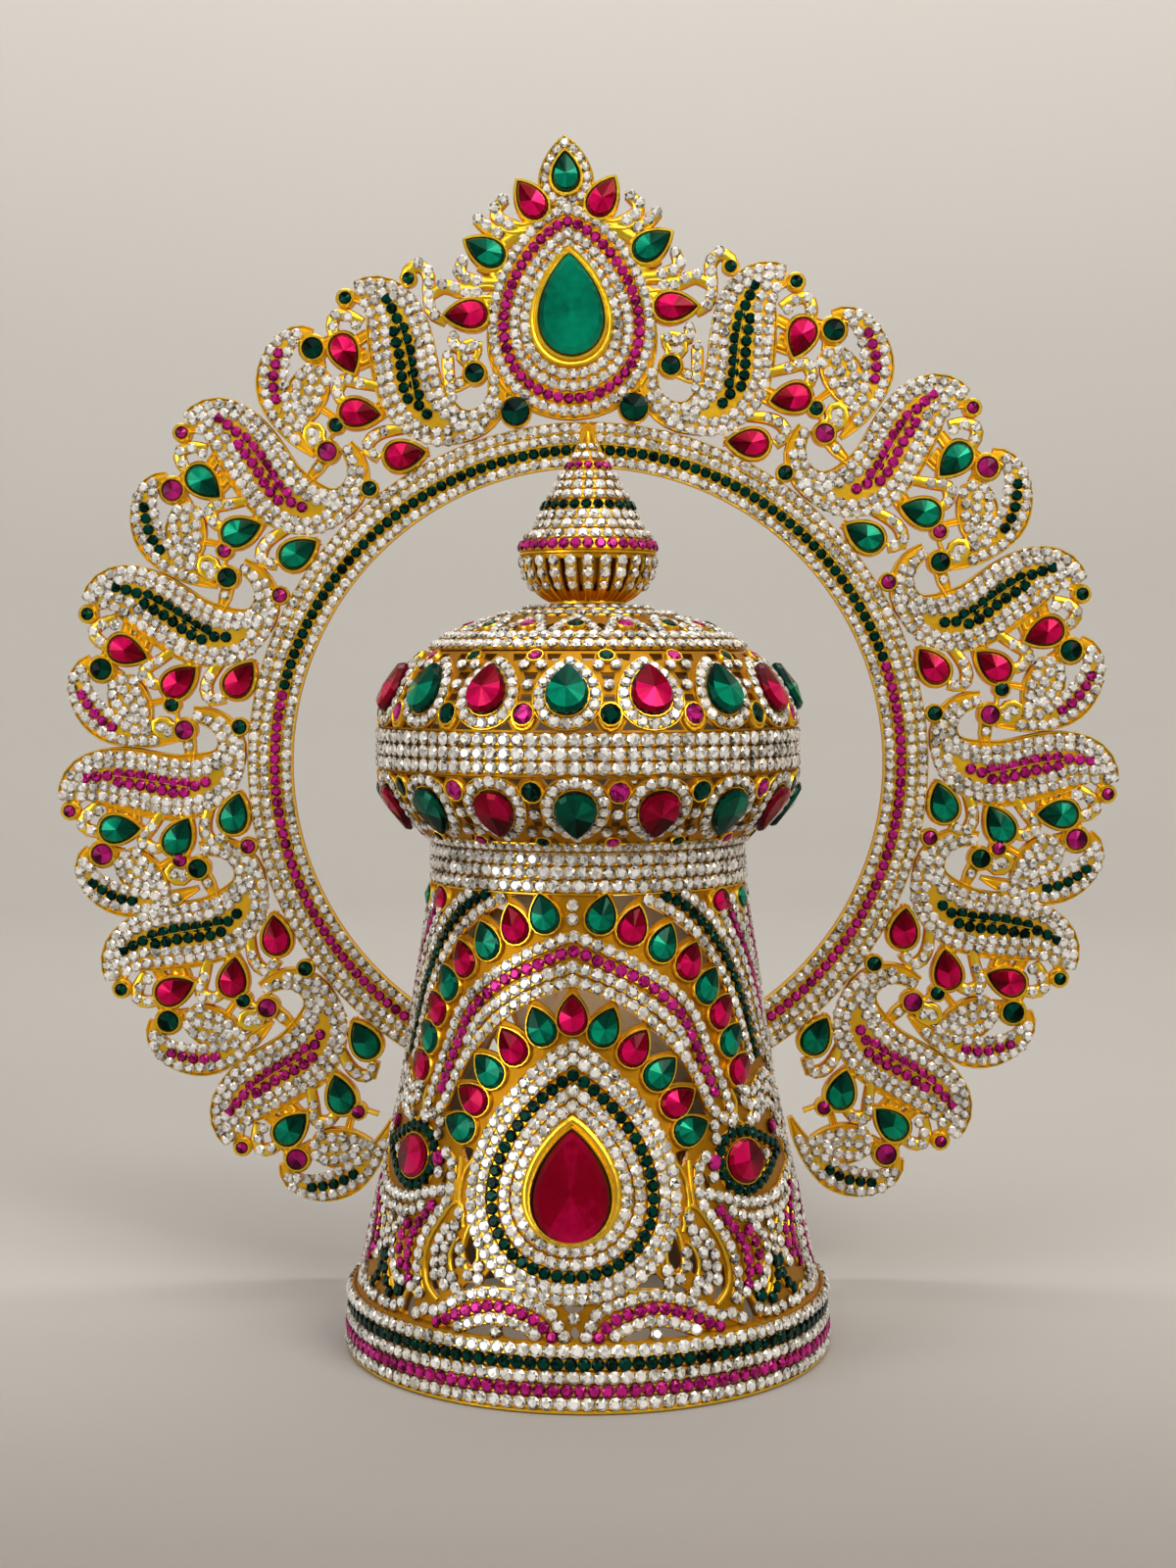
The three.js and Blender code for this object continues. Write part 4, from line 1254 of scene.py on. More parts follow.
SIDE_CHAINS = (
    Chain(W, ((87.0, 60.6), (87.2, 56.6), (87.3, 52.6), (87.2, 49.0), (86.2, 45.2), (84.1, 42.1), (81.9, 39.0),
              (80.1, 36.0), (79.2, 33.6), (78.9, 30.6), (79.3, 27.4), (80.6, 24.4), (82.4, 21.4))),
    Chain(W, ((73.8, 18.3), (78.0, 18.1), (84.0, 18.1), (88.0, 18.1))),
    Chain(M, ((86.9, 41.4), (84.9, 38.0), (83.2, 34.8), (82.3, 31.4), (82.6, 28.0), (83.9, 25.0),
              (85.8, 22.2))),
    Chain(W, ((87.0, 37.2), (86.2, 34.0), (85.8, 30.8), (86.4, 27.6), (87.2, 24.6))),
    Chain(W, ((78.4, 116.0), (79.2, 111.2), (81.0, 106.8), (84.1, 101.8), (86.4, 96.6))),
    Chain(M, ((83.2, 115.2), (83.9, 110.8), (85.6, 106.4), (86.9, 102.8))),
)
FOOT_CHAINS = (
    Chain(M, ((5.4, 17.5), (7.5, 20.1), (10.0, 21.8), (12.8, 22.9), (15.8, 23.6), (19.0, 23.9), (22.0, 23.5),
              (25.0, 22.6), (27.9, 21.5), (30.4, 20.2), (32.8, 18.9), (35.3, 17.8))),
    Chain(W, ((5.3, 22.9), (8.2, 24.6), (11.4, 25.5), (14.2, 26.2), (17.2, 26.9), (20.3, 27.0), (23.7, 26.3),
              (26.3, 25.5), (28.9, 24.5), (31.4, 22.9), (33.8, 21.4), (36.4, 20.2))),
    Chain(W, ((9.4, 18.0), (11.9, 19.5), (15.3, 20.6), (18.5, 21.1), (21.2, 20.7), (24.0, 20.0),
              (26.6, 18.8), (28.8, 17.9))),
)
LOWER_ARCH = (
    SetDrop(0, 93.8, 0, R), SetDrop(10.0, 90.8, 24, E), SetDrop(19.0, 85.6, 34, R),
    SetDrop(26.6, 79.3, 50, E), SetDrop(31.4, 72.0, 62, R), SetDrop(34.8, 64.8, 74, E),
)
UPPER_ARCH = (
    SetDrop(9.8, 118.2, 14, E), SetDrop(20.3, 115.3, 20, R), SetDrop(30.8, 110.8, 26, E),
    SetDrop(40.2, 105.8, 30, R), SetDrop(46.9, 99.4, 38, E), SetDrop(51.7, 92.6, 46, R),
    SetDrop(55.0, 85.2, 50, E), SetDrop(57.4, 77.6, 54, R),
)
ROUNDEL_CHAIN = ((43.6, 55.8), (44.6, 59.0), (47.0, 61.3), (50.4, 62.3), (54.4, 62.4), (58.2, 61.6),
                 (61.6, 60.3), (65.4, 58.8), (69.4, 57.0), (74.4, 55.2), (69.6, 53.4), (65.6, 51.6),
                 (61.8, 49.8), (58.0, 48.6), (54.2, 48.0), (50.2, 48.2), (46.8, 49.6), (44.4, 52.4))
LOW_WINDOWS = (
    ((10.8, 17.2), (17.0, 17.2), (17.6, 19.6), (14.8, 19.6)),
    ((20.6, 17.2), (28.8, 17.2), (25.6, 18.9), (20.6, 19.8)),
    ((15.4, 28.8), (22.6, 28.6), (21.8, 31.0), (19.6, 33.0), (18.0, 31.6)),
    ((26.8, 40.2), (24.8, 36.4), (25.2, 33.8), (26.6, 32.2), (28.0, 33.6), (28.0, 37.0)),
    ((30.4, 35.2), (31.6, 36.0), (32.6, 32.4), (31.8, 30.8), (30.6, 31.2)),
    ((24.4, 28.3), (27.2, 28.2), (28.4, 26.8), (26.4, 26.8)),
    ((35.0, 23.4), (38.0, 24.0), (39.6, 27.6), (40.0, 32.0), (38.8, 30.0), (36.4, 26.8)),
    ((43.6, 20.4), (45.4, 23.6), (47.6, 18.0), (45.0, 17.4)),
    ((29.6, 59.6), (33.8, 59.8), (31.4, 56.2)),
    ((37.2, 55.0), (39.4, 50.8), (38.0, 50.2)),
    ((54.2, 26.6), (56.8, 26.8), (55.6, 22.8), (53.2, 23.8)),
    ((0.0, 23.2), (2.6, 24.6), (0.0, 25.0), (-2.6, 24.6)),
    ((0.0, 17.2), (1.0, 18.6), (0.0, 20.2), (-1.0, 18.6)),
)
SMOOTH_RIBS = (
    ((28.6, 58.0), (31.4, 54.0), (32.0, 48.0), (31.0, 43.0)), ((33.4, 57.6), (33.2, 52.0), (33.4, 46.6)),
    ((29.4, 41.0), (31.0, 46.4), (34.2, 46.0), (37.0, 42.4), (39.6, 38.2), (41.2, 33.6), (41.0, 28.8),
     (39.0, 25.2), (35.8, 22.8)),
    ((30.2, 38.6), (32.0, 36.6), (32.8, 33.6), (32.0, 30.4)),
    ((27.2, 42.6), (28.6, 38.6), (28.8, 34.4), (27.2, 31.2), (24.6, 32.4), (24.2, 36.2), (25.4, 39.6)),
    ((13.6, 28.2), (18.0, 28.0), (22.6, 27.8)), ((42.6, 22.0), (45.8, 24.0), (48.0, 20.6), (48.4, 17.4)),
    ((52.2, 73.0), (54.0, 69.4), (52.8, 66.0), (55.8, 63.6)), ((63.4, 69.0), (60.2, 65.4), (57.6, 63.4)),
    ((52.6, 24.2), (55.2, 26.6), (55.8, 30.2)), ((49.6, 21.8), (52.8, 22.4), (54.6, 24.6)),
    ((55.0, 118.6), (52.4, 121.2), (56.0, 122.6), (62.0, 121.4), (63.4, 118.2)),
    ((55.6, 116.6), (57.8, 114.4), (60.8, 112.0)), ((57.6, 117.0), (60.0, 115.6)),
)
FACE_DRIFT = ((16.0, 1.6), (36.0, 0.0), (72.0, 0.0), (100.0, -0.5), (120.0, -0.8))


@dataclass
class CrownBody:
    """The tapering body: rim, medallion, two arches of drops, roundels, swirls and collar."""

    outline: tuple[Pair, ...] = (
        (0, 65.0), (6, 64.6), (10.6, 64.1), (13.6, 64.0), (15.2, 64.3), (16.2, 63.4), (17.4, 61.3),
        (30, 58.7), (43, 55.9), (56, 52.9), (69.5, 50.1), (83, 47.8), (96, 46.1), (108, 44.2),
        (120.5, 42.3), (133.2, 41.8))
    skin: float = 1.35
    wall: float = 1.4
    face_turn: float = -4.4
    medallion: Triple = (18.5, 26.6, 3.8)
    roundel: Triple = (13.8, 11.2, 2.7)
    arch_drop: Triple = (7.2, 9.9, 2.6)
    rim_rows: tuple[tuple[float, Gem], ...] = ((2.7, W), (5.8, M), (8.9, W), (12.1, G), (15.2, W))
    rim_count: int = 121
    collar_rows: tuple[float, ...] = (124.9, 128.3, 131.6)
    collar_count: int = 80
    surface: TurnedSurface = field(init=False)
    metal: Metalwork = field(init=False)
    stones: StoneSet = field(init=False)

    def regions(self) -> list[tuple[Region, str, str]]:
        """The four halves of the pattern, with the words that name them."""
        halves = []
        for face_name, turn in (("front", self.face_turn), ("back", self.face_turn + 180)):
            drift = tuple((height, turn + moved) for height, moved in FACE_DRIFT)
            for side_name, side in (("right", 1), ("left", -1)):
                halves.append((Region(self.surface, side, 0.0, 1.0, drift), face_name, side_name))
        return halves

    def shell(self) -> None:
        """Turns the wall, with its rounded lower edge."""
        radius = self.surface.radius_at
        heights = (0.25, 1.0, 4.0, 7.4, 10.6, 14.0, 16.2, 17.4, 24, 30, 37, 43, 50, 56, 63, 69.5, 76, 83, 90,
                   96, 102, 108, 114, 120.5, 127, 133.0)
        # Lift 0.22 gives the outer wall mostly the painted shade of the hollows between the rows; the inner
        # face, below zero, gets the bare colour.
        outer = [(height, float(radius(height)), 0.22) for height in heights]
        inner = [(height, float(radius(height)) - self.wall, -1.0) for height in reversed(heights)]
        lip = [(0.0, float(radius(0)) - 0.5, 0.8), (0.0, float(radius(0)) - self.wall + 0.3, 0.6)]
        self.metal.turned(tuple(outer + inner + lip[::-1]), 120)

    def between(self, region: Region, drops: tuple[SetDrop, ...]) -> list[Array]:
        """Openings between neighbouring drops of an arch, where their points spread.

        Args:
            region: Half of the pattern.
            drops: The drops in order.

        Returns:
            Turn and height of the corners of each opening.
        """
        reach = self.arch_drop[1] / 2 + 1.9
        middles = np.array([(drop.turn, drop.reach) for drop in drops])
        leans = np.radians([drop.lean for drop in drops])
        per_degree = np.degrees(1 / self.surface.radius_at(middles[:, 1]))
        tips = middles + np.stack([reach * np.sin(leans) * per_degree, reach * np.cos(leans)], -1)
        shapes = []
        for i in range(len(drops) - 1):
            span = tips[i + 1] - tips[i]
            mid = middles[i] / 2 + middles[i + 1] / 2
            notch = mid + (tips[i] / 2 + tips[i + 1] / 2 - mid) * 0.14
            bulge = (tips[i] / 2 + tips[i + 1] / 2 - mid) * 0.16
            shapes.append(np.array([tips[i] + span * 0.08, tips[i] + span * 0.5 + bulge, tips[i] + span * 0.92,
                                    (tips[i] + span * 0.84 + notch) / 2, notch,
                                    (tips[i] + span * 0.16 + notch) / 2]))
        return shapes

    def openings(self) -> list[tuple[Array, Array]]:
        """Every opening through the wall, as corners and the way that it faces."""
        result = []
        for region, _, _ in self.regions():
            shapes = self.between(region, LOWER_ARCH) + self.between(region, UPPER_ARCH)
            low = LOW_WINDOWS if region.side > 0 else LOW_WINDOWS[:-2]
            shapes += [smooth_rows(np.array(corners, float), True, 3) for corners in low]
            for shape in shapes:
                turns = region.turn(shape[:, 0], shape[:, 1])
                middle = np.array([turns.mean()]), np.array([shape[:, 1].mean()])
                out = self.surface.axes(*middle)[2][0]
                result.append((self.surface.points(turns, shape[:, 1]), out))
        return result

    def chain(self, region: Region, chain: Chain) -> None:
        """Lays one row with its ribbon."""
        if chain.across and region.side < 0:
            return
        course = region.course(chain.rows, 1.5, across=chain.across)
        self.metal.ribbon(course, ROW)
        self.stones.row(course, chain.gem)

    def drop(self, region: Region, drop: SetDrop) -> None:
        """Sets one drop of an arch in its bezel."""
        width, length, _ = self.arch_drop
        anchor = (drop.turn, drop.reach, drop.lean)
        rim = region.loop(anchor, drop_outline(length + 0.9, width + 0.8, 20), 0.42)
        self.metal.ribbon(rim, BEZEL, 1.6, tall=1.2)
        self.stones.large(region, anchor, self.stones.bench.drop, self.arch_drop, 0.2, drop.gem)

    def medallion_rings(self, region: Region) -> None:
        """Lays the rows round the medallion and its wide bezel."""
        rings = ((13.65, 72.0, 37.1, W), (16.95, 75.8, 33.9, W), (20.2, 79.5, 31.0, G),
                 (23.3, 83.5, 28.1, W), (26.2, 87.0, 25.6, W))
        for half, top, bottom, gem in rings:
            ring = region.loop((0, (top + bottom) / 2, 0), drop_outline(top - bottom, 2 * half, 60), 1.5)
            self.metal.ribbon(ring, ROW)
            self.stones.row(ring, gem)
        for top, bottom, width, half, above in ((67.0, 39.0, 20.0, 0.55, 1.2), (68.8, 39.0, 22.6, 1.1, 0.4)):
            outline = drop_outline(top - bottom, width, 48)
            rim = region.loop((0, (top + bottom) / 2, 0), outline, half)
            self.metal.ribbon(rim, BEZEL, 1.8, above=above)

    def build(self, bench: Bench) -> None:
        """Builds the wall, its ornament and its stones.

        Args:
            bench: Where pieces are finished.
        """
        self.surface = TurnedSurface(self.outline, self.skin)
        self.metal = Metalwork()
        self.stones = StoneSet(bench, "crown_body", 1)
        self.shell()
        self.metal.cut(self.openings())
        whole = Region(self.surface)
        for height, gem in self.rim_rows:
            line = hoop(self.surface, height, 1.5)
            self.metal.ribbon(line, ROW, 3.2)
            self.stones.circle(self.surface, height, self.rim_count, height * 11, gem, 1.64)
        for height in self.collar_rows:
            self.metal.ribbon(hoop(self.surface, height, 1.55), ROW, 3.2)
            self.stones.circle(self.surface, height, self.collar_count, height * 7, W, 1.66)
        self.metal.ribbon(hoop(self.surface, 123.0, 0.4), WIRE, 3.2)
        self.metal.ribbon(hoop(self.surface, 0.7, 0.6), WIRE, 3.2, tall=0.8)
        for i, (region, face_name, side_name) in enumerate(self.regions()):
            for chain in (*ARCH_CHAINS, *SWIRL_CHAINS, *SIDE_CHAINS, *FOOT_CHAINS):
                self.chain(region, chain)
            for chain in SWIRL_CHAINS[:8]:
                mirrored = tuple((119.2 - turn, height) for turn, height in chain.rows)
                self.chain(region, Chain(chain.gem, mirrored))
            for drop in LOWER_ARCH[0 if region.side > 0 else 1:] + UPPER_ARCH:
                self.drop(region, drop)
            for rows in SMOOTH_RIBS:
                self.metal.ribbon(region.course(rows, 0.7), WIRE, 1.8)
            self.singles(region)
            self.roundel_setting(region)
            name = f"roundel_stone_{face_name}_{side_name}"
            across = (self.roundel[1], self.roundel[0], self.roundel[2])
            bench.gem(region, (52.9, 55.0, 90.0), bench.oval, across, 0.5, R, f"{name}_cut", name)
            if region.side > 0:
                self.medallion_rings(region)
                name = f"medallion_stone_{face_name}"
                bench.gem(region, (0, 52.6, 0), bench.calm_drop, self.medallion, 0.8, R, f"{name}_cut", name)
                middle = ((90, 42), (90, 63), (90, 92))
                self.metal.ribbon(region.course(((90, 18.2), *middle, (90, 121.6)), 1.5), ROW)
                self.stones.row(region.course(((90, 18.8), *middle, (90, 121.0))), W)
                self.stones.singles(region, ((0, 120.3), (0, 116.9), (0, 22.2)), W)
        self.stones.finish()
        bench.metal(self.metal, "crown_body_metal", "crown_body")

    def roundel_setting(self, region: Region) -> None:
        """Lays the bezel and the dark row of a roundel."""
        width, height, _ = self.roundel
        rim = region.loop((52.9, 55.0, 90.0), oval_outline(width + 0.4, height + 0.4, 28), 0.3)
        self.metal.ribbon(rim, BEZEL, 1.6, tall=1.4)
        ring = region.course(ROUNDEL_CHAIN, 1.5, closed=True)
        self.metal.ribbon(ring, ROW)
        self.stones.row(ring, G)

    def singles(self, region: Region) -> None:
        """Sets the stones that stand by themselves, with a bezel round each of the two oval ones."""
        whites = ((40.7, 52.8), (43.3, 64.9), (43.4, 61.8), (64.6, 55.0), (32.6, 63.0), (18.9, 17.7),
                  (23.9, 32.4), (23.8, 29.6), (26.8, 30.2), (31.3, 44.2), (32.0, 41.2), (32.6, 38.4),
                  (35.0, 39.9), (36.5, 37.3), (34.2, 35.6), (37.6, 34.6), (34.6, 32.6), (37.4, 31.6),
                  (34.5, 29.6), (37.0, 28.8), (31.6, 28.9), (33.7, 26.9), (29.6, 36.0), (29.1, 32.9),
                  (30.2, 26.6), (2.5, 17.7), (3.8, 20.3), (49.2, 25.0), (51.8, 25.6), (45.2, 24.4),
                  (61.6, 107.0), (83.6, 74.4), (80.8, 64.9), (76.6, 21.2), (76.4, 58.6),
                  (79.6, 61.0))
        self.stones.singles(region, whites, W)
        self.stones.singles(region, ((41.6, 56.2), (72.6, 60.6)), M, 2.0, 0.6)
        self.stones.singles(region, ((50.1, 22.6),), G, 1.9, 0.6)
        for turn, height, lean, gem in ((58.8, 119.8, 78, R), (77.0, 119.4, 102, E)):
            size = (5.6, 7.4, 2.2)
            self.stones.large(region, (turn, height, lean), self.stones.bench.oval, size, 0.2, gem)
            rim = region.loop((turn, height, lean), oval_outline(8.4, 6.6, 20), 0.5)
            self.metal.ribbon(rim, BEZEL, 1.6, tall=1.2)


# ------------------------------------------------------------------ dome
@dataclass(frozen=True)
class DomeTier:
    """One turned part of the dome, between two heights of its outline."""

    node: str
    outline: tuple[Pair, ...]
    windows: tuple[tuple[Pair, ...], ...] = ()


@dataclass
class Dome:
    """The flattened dome: a lower row of drops, a band, an upper row of drops and the cap."""

    skin: float = 1.3
    wall: float = 1.4
    count: int = 16
    lower_turn: float = -3.25
    upper_turn: float = -5.5
    drop: Triple = (10.7, 13.8, 3.6)
    tiers: tuple[DomeTier, ...] = (
        DomeTier("dome_lower", ((133.4, 42.6), (135.0, 43.5), (137.5, 45.7), (140, 48.9), (142.5, 51.8),
                                (145, 53.5), (147.5, 54.7), (150, 55.5), (152.4, 56.0)),
                 (((2.6, 152.2), (7.9, 152.2), (4.9, 149.4)), ((-2.6, 152.2), (-7.9, 152.2), (-4.9, 149.4)),
                  ((-1.6, 146.4), (1.6, 146.4), (1.2, 145.0), (-1.2, 145.0)),
                  ((-1.6, 142.2), (1.6, 142.2), (1.0, 140.2), (-1.0, 140.2)),
                  ((3.6, 137.6), (5.4, 135.9), (2.2, 136.0)), ((-3.6, 137.6), (-5.4, 135.9), (-2.2, 136.0)))),
        DomeTier("dome_band", ((152.6, 56.0), (163.2, 56.0))),
        DomeTier("dome_upper", ((163.4, 55.9), (167, 55.3), (169.8, 54.4), (173.8, 52.5), (176.6, 50.4),
                                (180, 47.2), (183.0, 43.8)),
                 (((2.8, 163.9), (8.0, 163.9), (4.9, 167.2)), ((-2.8, 163.9), (-8.0, 163.9), (-4.9, 167.2)),
                  ((-2.2, 177.9), (2.2, 177.9), (1.6, 176.2), (-1.6, 176.2)),
                  ((-1.3, 172.6), (1.3, 172.6), (1.8, 170.9), (-1.8, 170.9)),
                  ((3.4, 182.4), (8.2, 182.4), (7.2, 180.6), (4.0, 181.0)),
                  ((-3.4, 182.4), (-8.2, 182.4), (-7.2, 180.6), (-4.0, 181.0)))),
        DomeTier("dome_cap", ((183.4, 43.2), (185.2, 41.0), (187.2, 38.2), (189.7, 32.4), (192.2, 24.6),
                              (194.2, 16.5), (195.5, 10.4)),
                 (((-7.0, 188.3), (7.0, 188.3), (0.0, 190.2)), ((8.6, 189.4), (13.9, 189.4), (11.25, 191.0)))),
    )

    def tier(self, tier: DomeTier, turn: float) -> tuple[TurnedSurface, Metalwork]:
        """Turns one tier and cuts its windows.

        Args:
            tier: Its outline and windows.
            turn: Turn of the first drop over it.

        Returns:
            Its surface and its metal.
        """
        surface = TurnedSurface(tier.outline, self.skin)
        low, high = tier.outline[0][0], tier.outline[-1][0]
        lengths = np.linspace(0, surface.length[-1], 8)
        heights = np.interp(lengths, surface.length, surface.height)
        spots = surface.points(np.zeros(8), heights)
        out = surface.axes(np.zeros(8), heights)[2]
        under = spots - out * self.wall
        # Lift 0.2 gives the tier's face mostly the painted shade of the hollows; the inner face gets the bare
        # colour.
        outer = [(float(z), float(-y), 0.2) for _, y, z in spots]
        inner = [(float(np.clip(z, low, high)), float(-y), -1.0) for _, y, z in under[::-1]]
        metal = Metalwork()
        metal.turned(tuple(outer + inner), 96)
        if tier.windows:
            cuts = []
            for i in range(self.count):
                for window in tier.windows:
                    corners = np.array(window, float)
                    turns = turn + (i + 0.5) * 360 / self.count + corners[:, 0]
                    facing = surface.axes(turns.mean(keepdims=True), corners[:, 1].mean(keepdims=True))
                    cuts.append((surface.points(turns, corners[:, 1]), facing[2][0]))
            metal.cut(cuts)
        return surface, metal

    def ringed_drop(self, region: Region, metal: Metalwork, stones: StoneSet, height: float,
                    lean: float) -> None:
        """Lays the bezel of a drop and the ring of stones round it."""
        width, length, _ = self.drop
        rim = region.loop((0, height, lean), drop_outline(length + 0.1, width + 0.1, 28), 0.3)
        metal.ribbon(rim, BEZEL, 1.8, tall=0.9)
        ring = region.loop((0, height, lean), drop_outline(length + 3.4, width + 3.1, 36), 1.45)
        metal.ribbon(ring, ROW, tall=1.1)
        stones.row(ring, W, 1.5, 2.95, 0.6)
        edge = region.loop((0, height, lean), drop_outline(length + 6.6, width + 6.1, 36), 0.3)
        metal.ribbon(edge, WIRE, 2.0, tall=1.1)

    def build(self, bench: Bench) -> None:
        """Builds the four tiers and their stones.

        Args:
            bench: Where pieces are finished.
        """
        stones = StoneSet(bench, "dome", 2)
        lower, band, upper, cap = self.tiers
        self.build_lower(bench, stones, lower)
        self.build_band(bench, stones, band)
        self.build_upper(bench, stones, upper)
        self.build_cap(bench, stones, cap)
        stones.finish()

    def build_lower(self, bench: Bench, stones: StoneSet, tier: DomeTier) -> None:
        """Builds the lower row of drops, which point down."""
        surface, metal = self.tier(tier, self.lower_turn)
        for i in range(self.count):
            region = Region(surface, 1, self.lower_turn + i * 360 / self.count)
            self.ringed_drop(region, metal, stones, 143.6, 180)
            gem = R if i % 2 else E
            stones.large(region, (0, 143.6, 180), bench.darker_painted_drop, (*self.drop[:2], 2.6), 0.5, gem)
            gap = Region(surface, 1, self.lower_turn + (i + 0.5) * 360 / self.count)
            colour = G if i % 2 else M
            stones.singles(gap, ((0, 149.2),), colour, 2.4, 0.5)
            stones.singles(gap, ((0, 136.6),), colour, 1.6, 0.4)
            stones.singles(gap, ((0, 143.8), (-2.4, 139.2), (2.4, 139.2)), W, 1.42, 0.6)
            metal.ribbon(gap.loop((0, 149.2, 0), oval_outline(5.6, 5.6, 16), 0.45), BEZEL, 1.6)
            metal.ribbon(gap.loop((0, 136.6, 0), oval_outline(3.8, 3.8, 12), 0.35), BEZEL, 1.5, tall=0.8)
        metal.ribbon(hoop(surface, 134.9, 1.25), ROW, 3.2, tall=0.8)
        stones.circle(surface, 134.9, 106, 0.0, W, 1.22, 0.35)
        bench.metal(metal, "dome_lower_metal", tier.node)

    def build_band(self, bench: Bench, stones: StoneSet, tier: DomeTier) -> None:
        """Builds the band with its three straight rows."""
        surface, metal = self.tier(tier, 0.0)
        for height in (154.8, 158.2, 161.6):
            metal.ribbon(hoop(surface, height, 1.55), ROW, 3.2)
            stones.circle(surface, height, 98, 0.4, W, 1.72)
        bench.metal(metal, "dome_band_metal", tier.node)

    def build_upper(self, bench: Bench, stones: StoneSet, tier: DomeTier) -> None:
        """Builds the upper row of drops, each a stone of its own."""
        surface, metal = self.tier(tier, self.upper_turn)
        for i in range(self.count):
            region = Region(surface, 1, self.upper_turn + i * 360 / self.count)
            self.ringed_drop(region, metal, stones, 173.5, 0)
            name = f"dome_stone_{i + 1}"
            gem = R if i % 2 else E
            bench.gem(region, (0, 173.5, 0), bench.drop, self.drop, 0.4, gem, f"{name}_cut", name)
            gap = Region(surface, 1, self.upper_turn + (i + 0.5) * 360 / self.count)
            colour = M if i % 2 else G
            stones.singles(gap, ((0, 167.6),), colour, 2.4, 0.6)
            stones.singles(gap, ((0, 181.4),), colour, 1.75, 0.5)
            stones.singles(gap, ((0, 174.6), (-2.7, 179.4), (2.7, 179.4)), W, 1.42, 0.6)
            metal.ribbon(gap.loop((0, 167.6, 0), oval_outline(5.6, 5.6, 16), 0.45), BEZEL, 1.6, tall=1.2)
            metal.ribbon(gap.loop((0, 181.4, 0), oval_outline(4.2, 4.2, 12), 0.4), BEZEL, 1.5)
            metal.ribbon(gap.course(((-3.0, 166.6), (-1.8, 164.6), (0, 164.0), (1.8, 164.6), (3.0, 166.6)),
                                    0.6), WIRE, 1.5, tall=1.3)
        bench.metal(metal, "dome_upper_metal", tier.node)

    def build_cap(self, bench: Bench, stones: StoneSet, tier: DomeTier) -> None:
        """Builds the cap: two rows, a lattice of small scallops and the rows round the finial."""
        surface, metal = self.tier(tier, self.upper_turn)
        for height, number, radius in ((184.6, 84, 1.5), (186.7, 78, 1.5), (192.4, 46, 1.5), (194.0, 32, 1.4)):
            metal.ribbon(hoop(surface, height, 1.4), ROW, 3.0)
            stones.circle(surface, height, number, height, W, radius, 0.45)
        for i in range(self.count):
            region = Region(surface, 1, self.upper_turn + i * 360 / self.count)
            stones.singles(region, ((0, 189.3),), M if i % 2 else G, 2.1, 0.6)
            metal.ribbon(region.loop((0, 189.3, 0), oval_outline(4.8, 4.8, 12), 0.4), BEZEL, 1.5)
            arc = region.course(((-8.6, 188.0), (-5.6, 189.8), (0, 191.2), (5.6, 189.8), (8.6, 188.0)), 1.2)
            metal.ribbon(arc, ROW, 2.0, tall=0.8)
            stones.row(arc, W, 1.35, 2.7, 0.4)
        bench.metal(metal, "dome_cap_metal", tier.node)


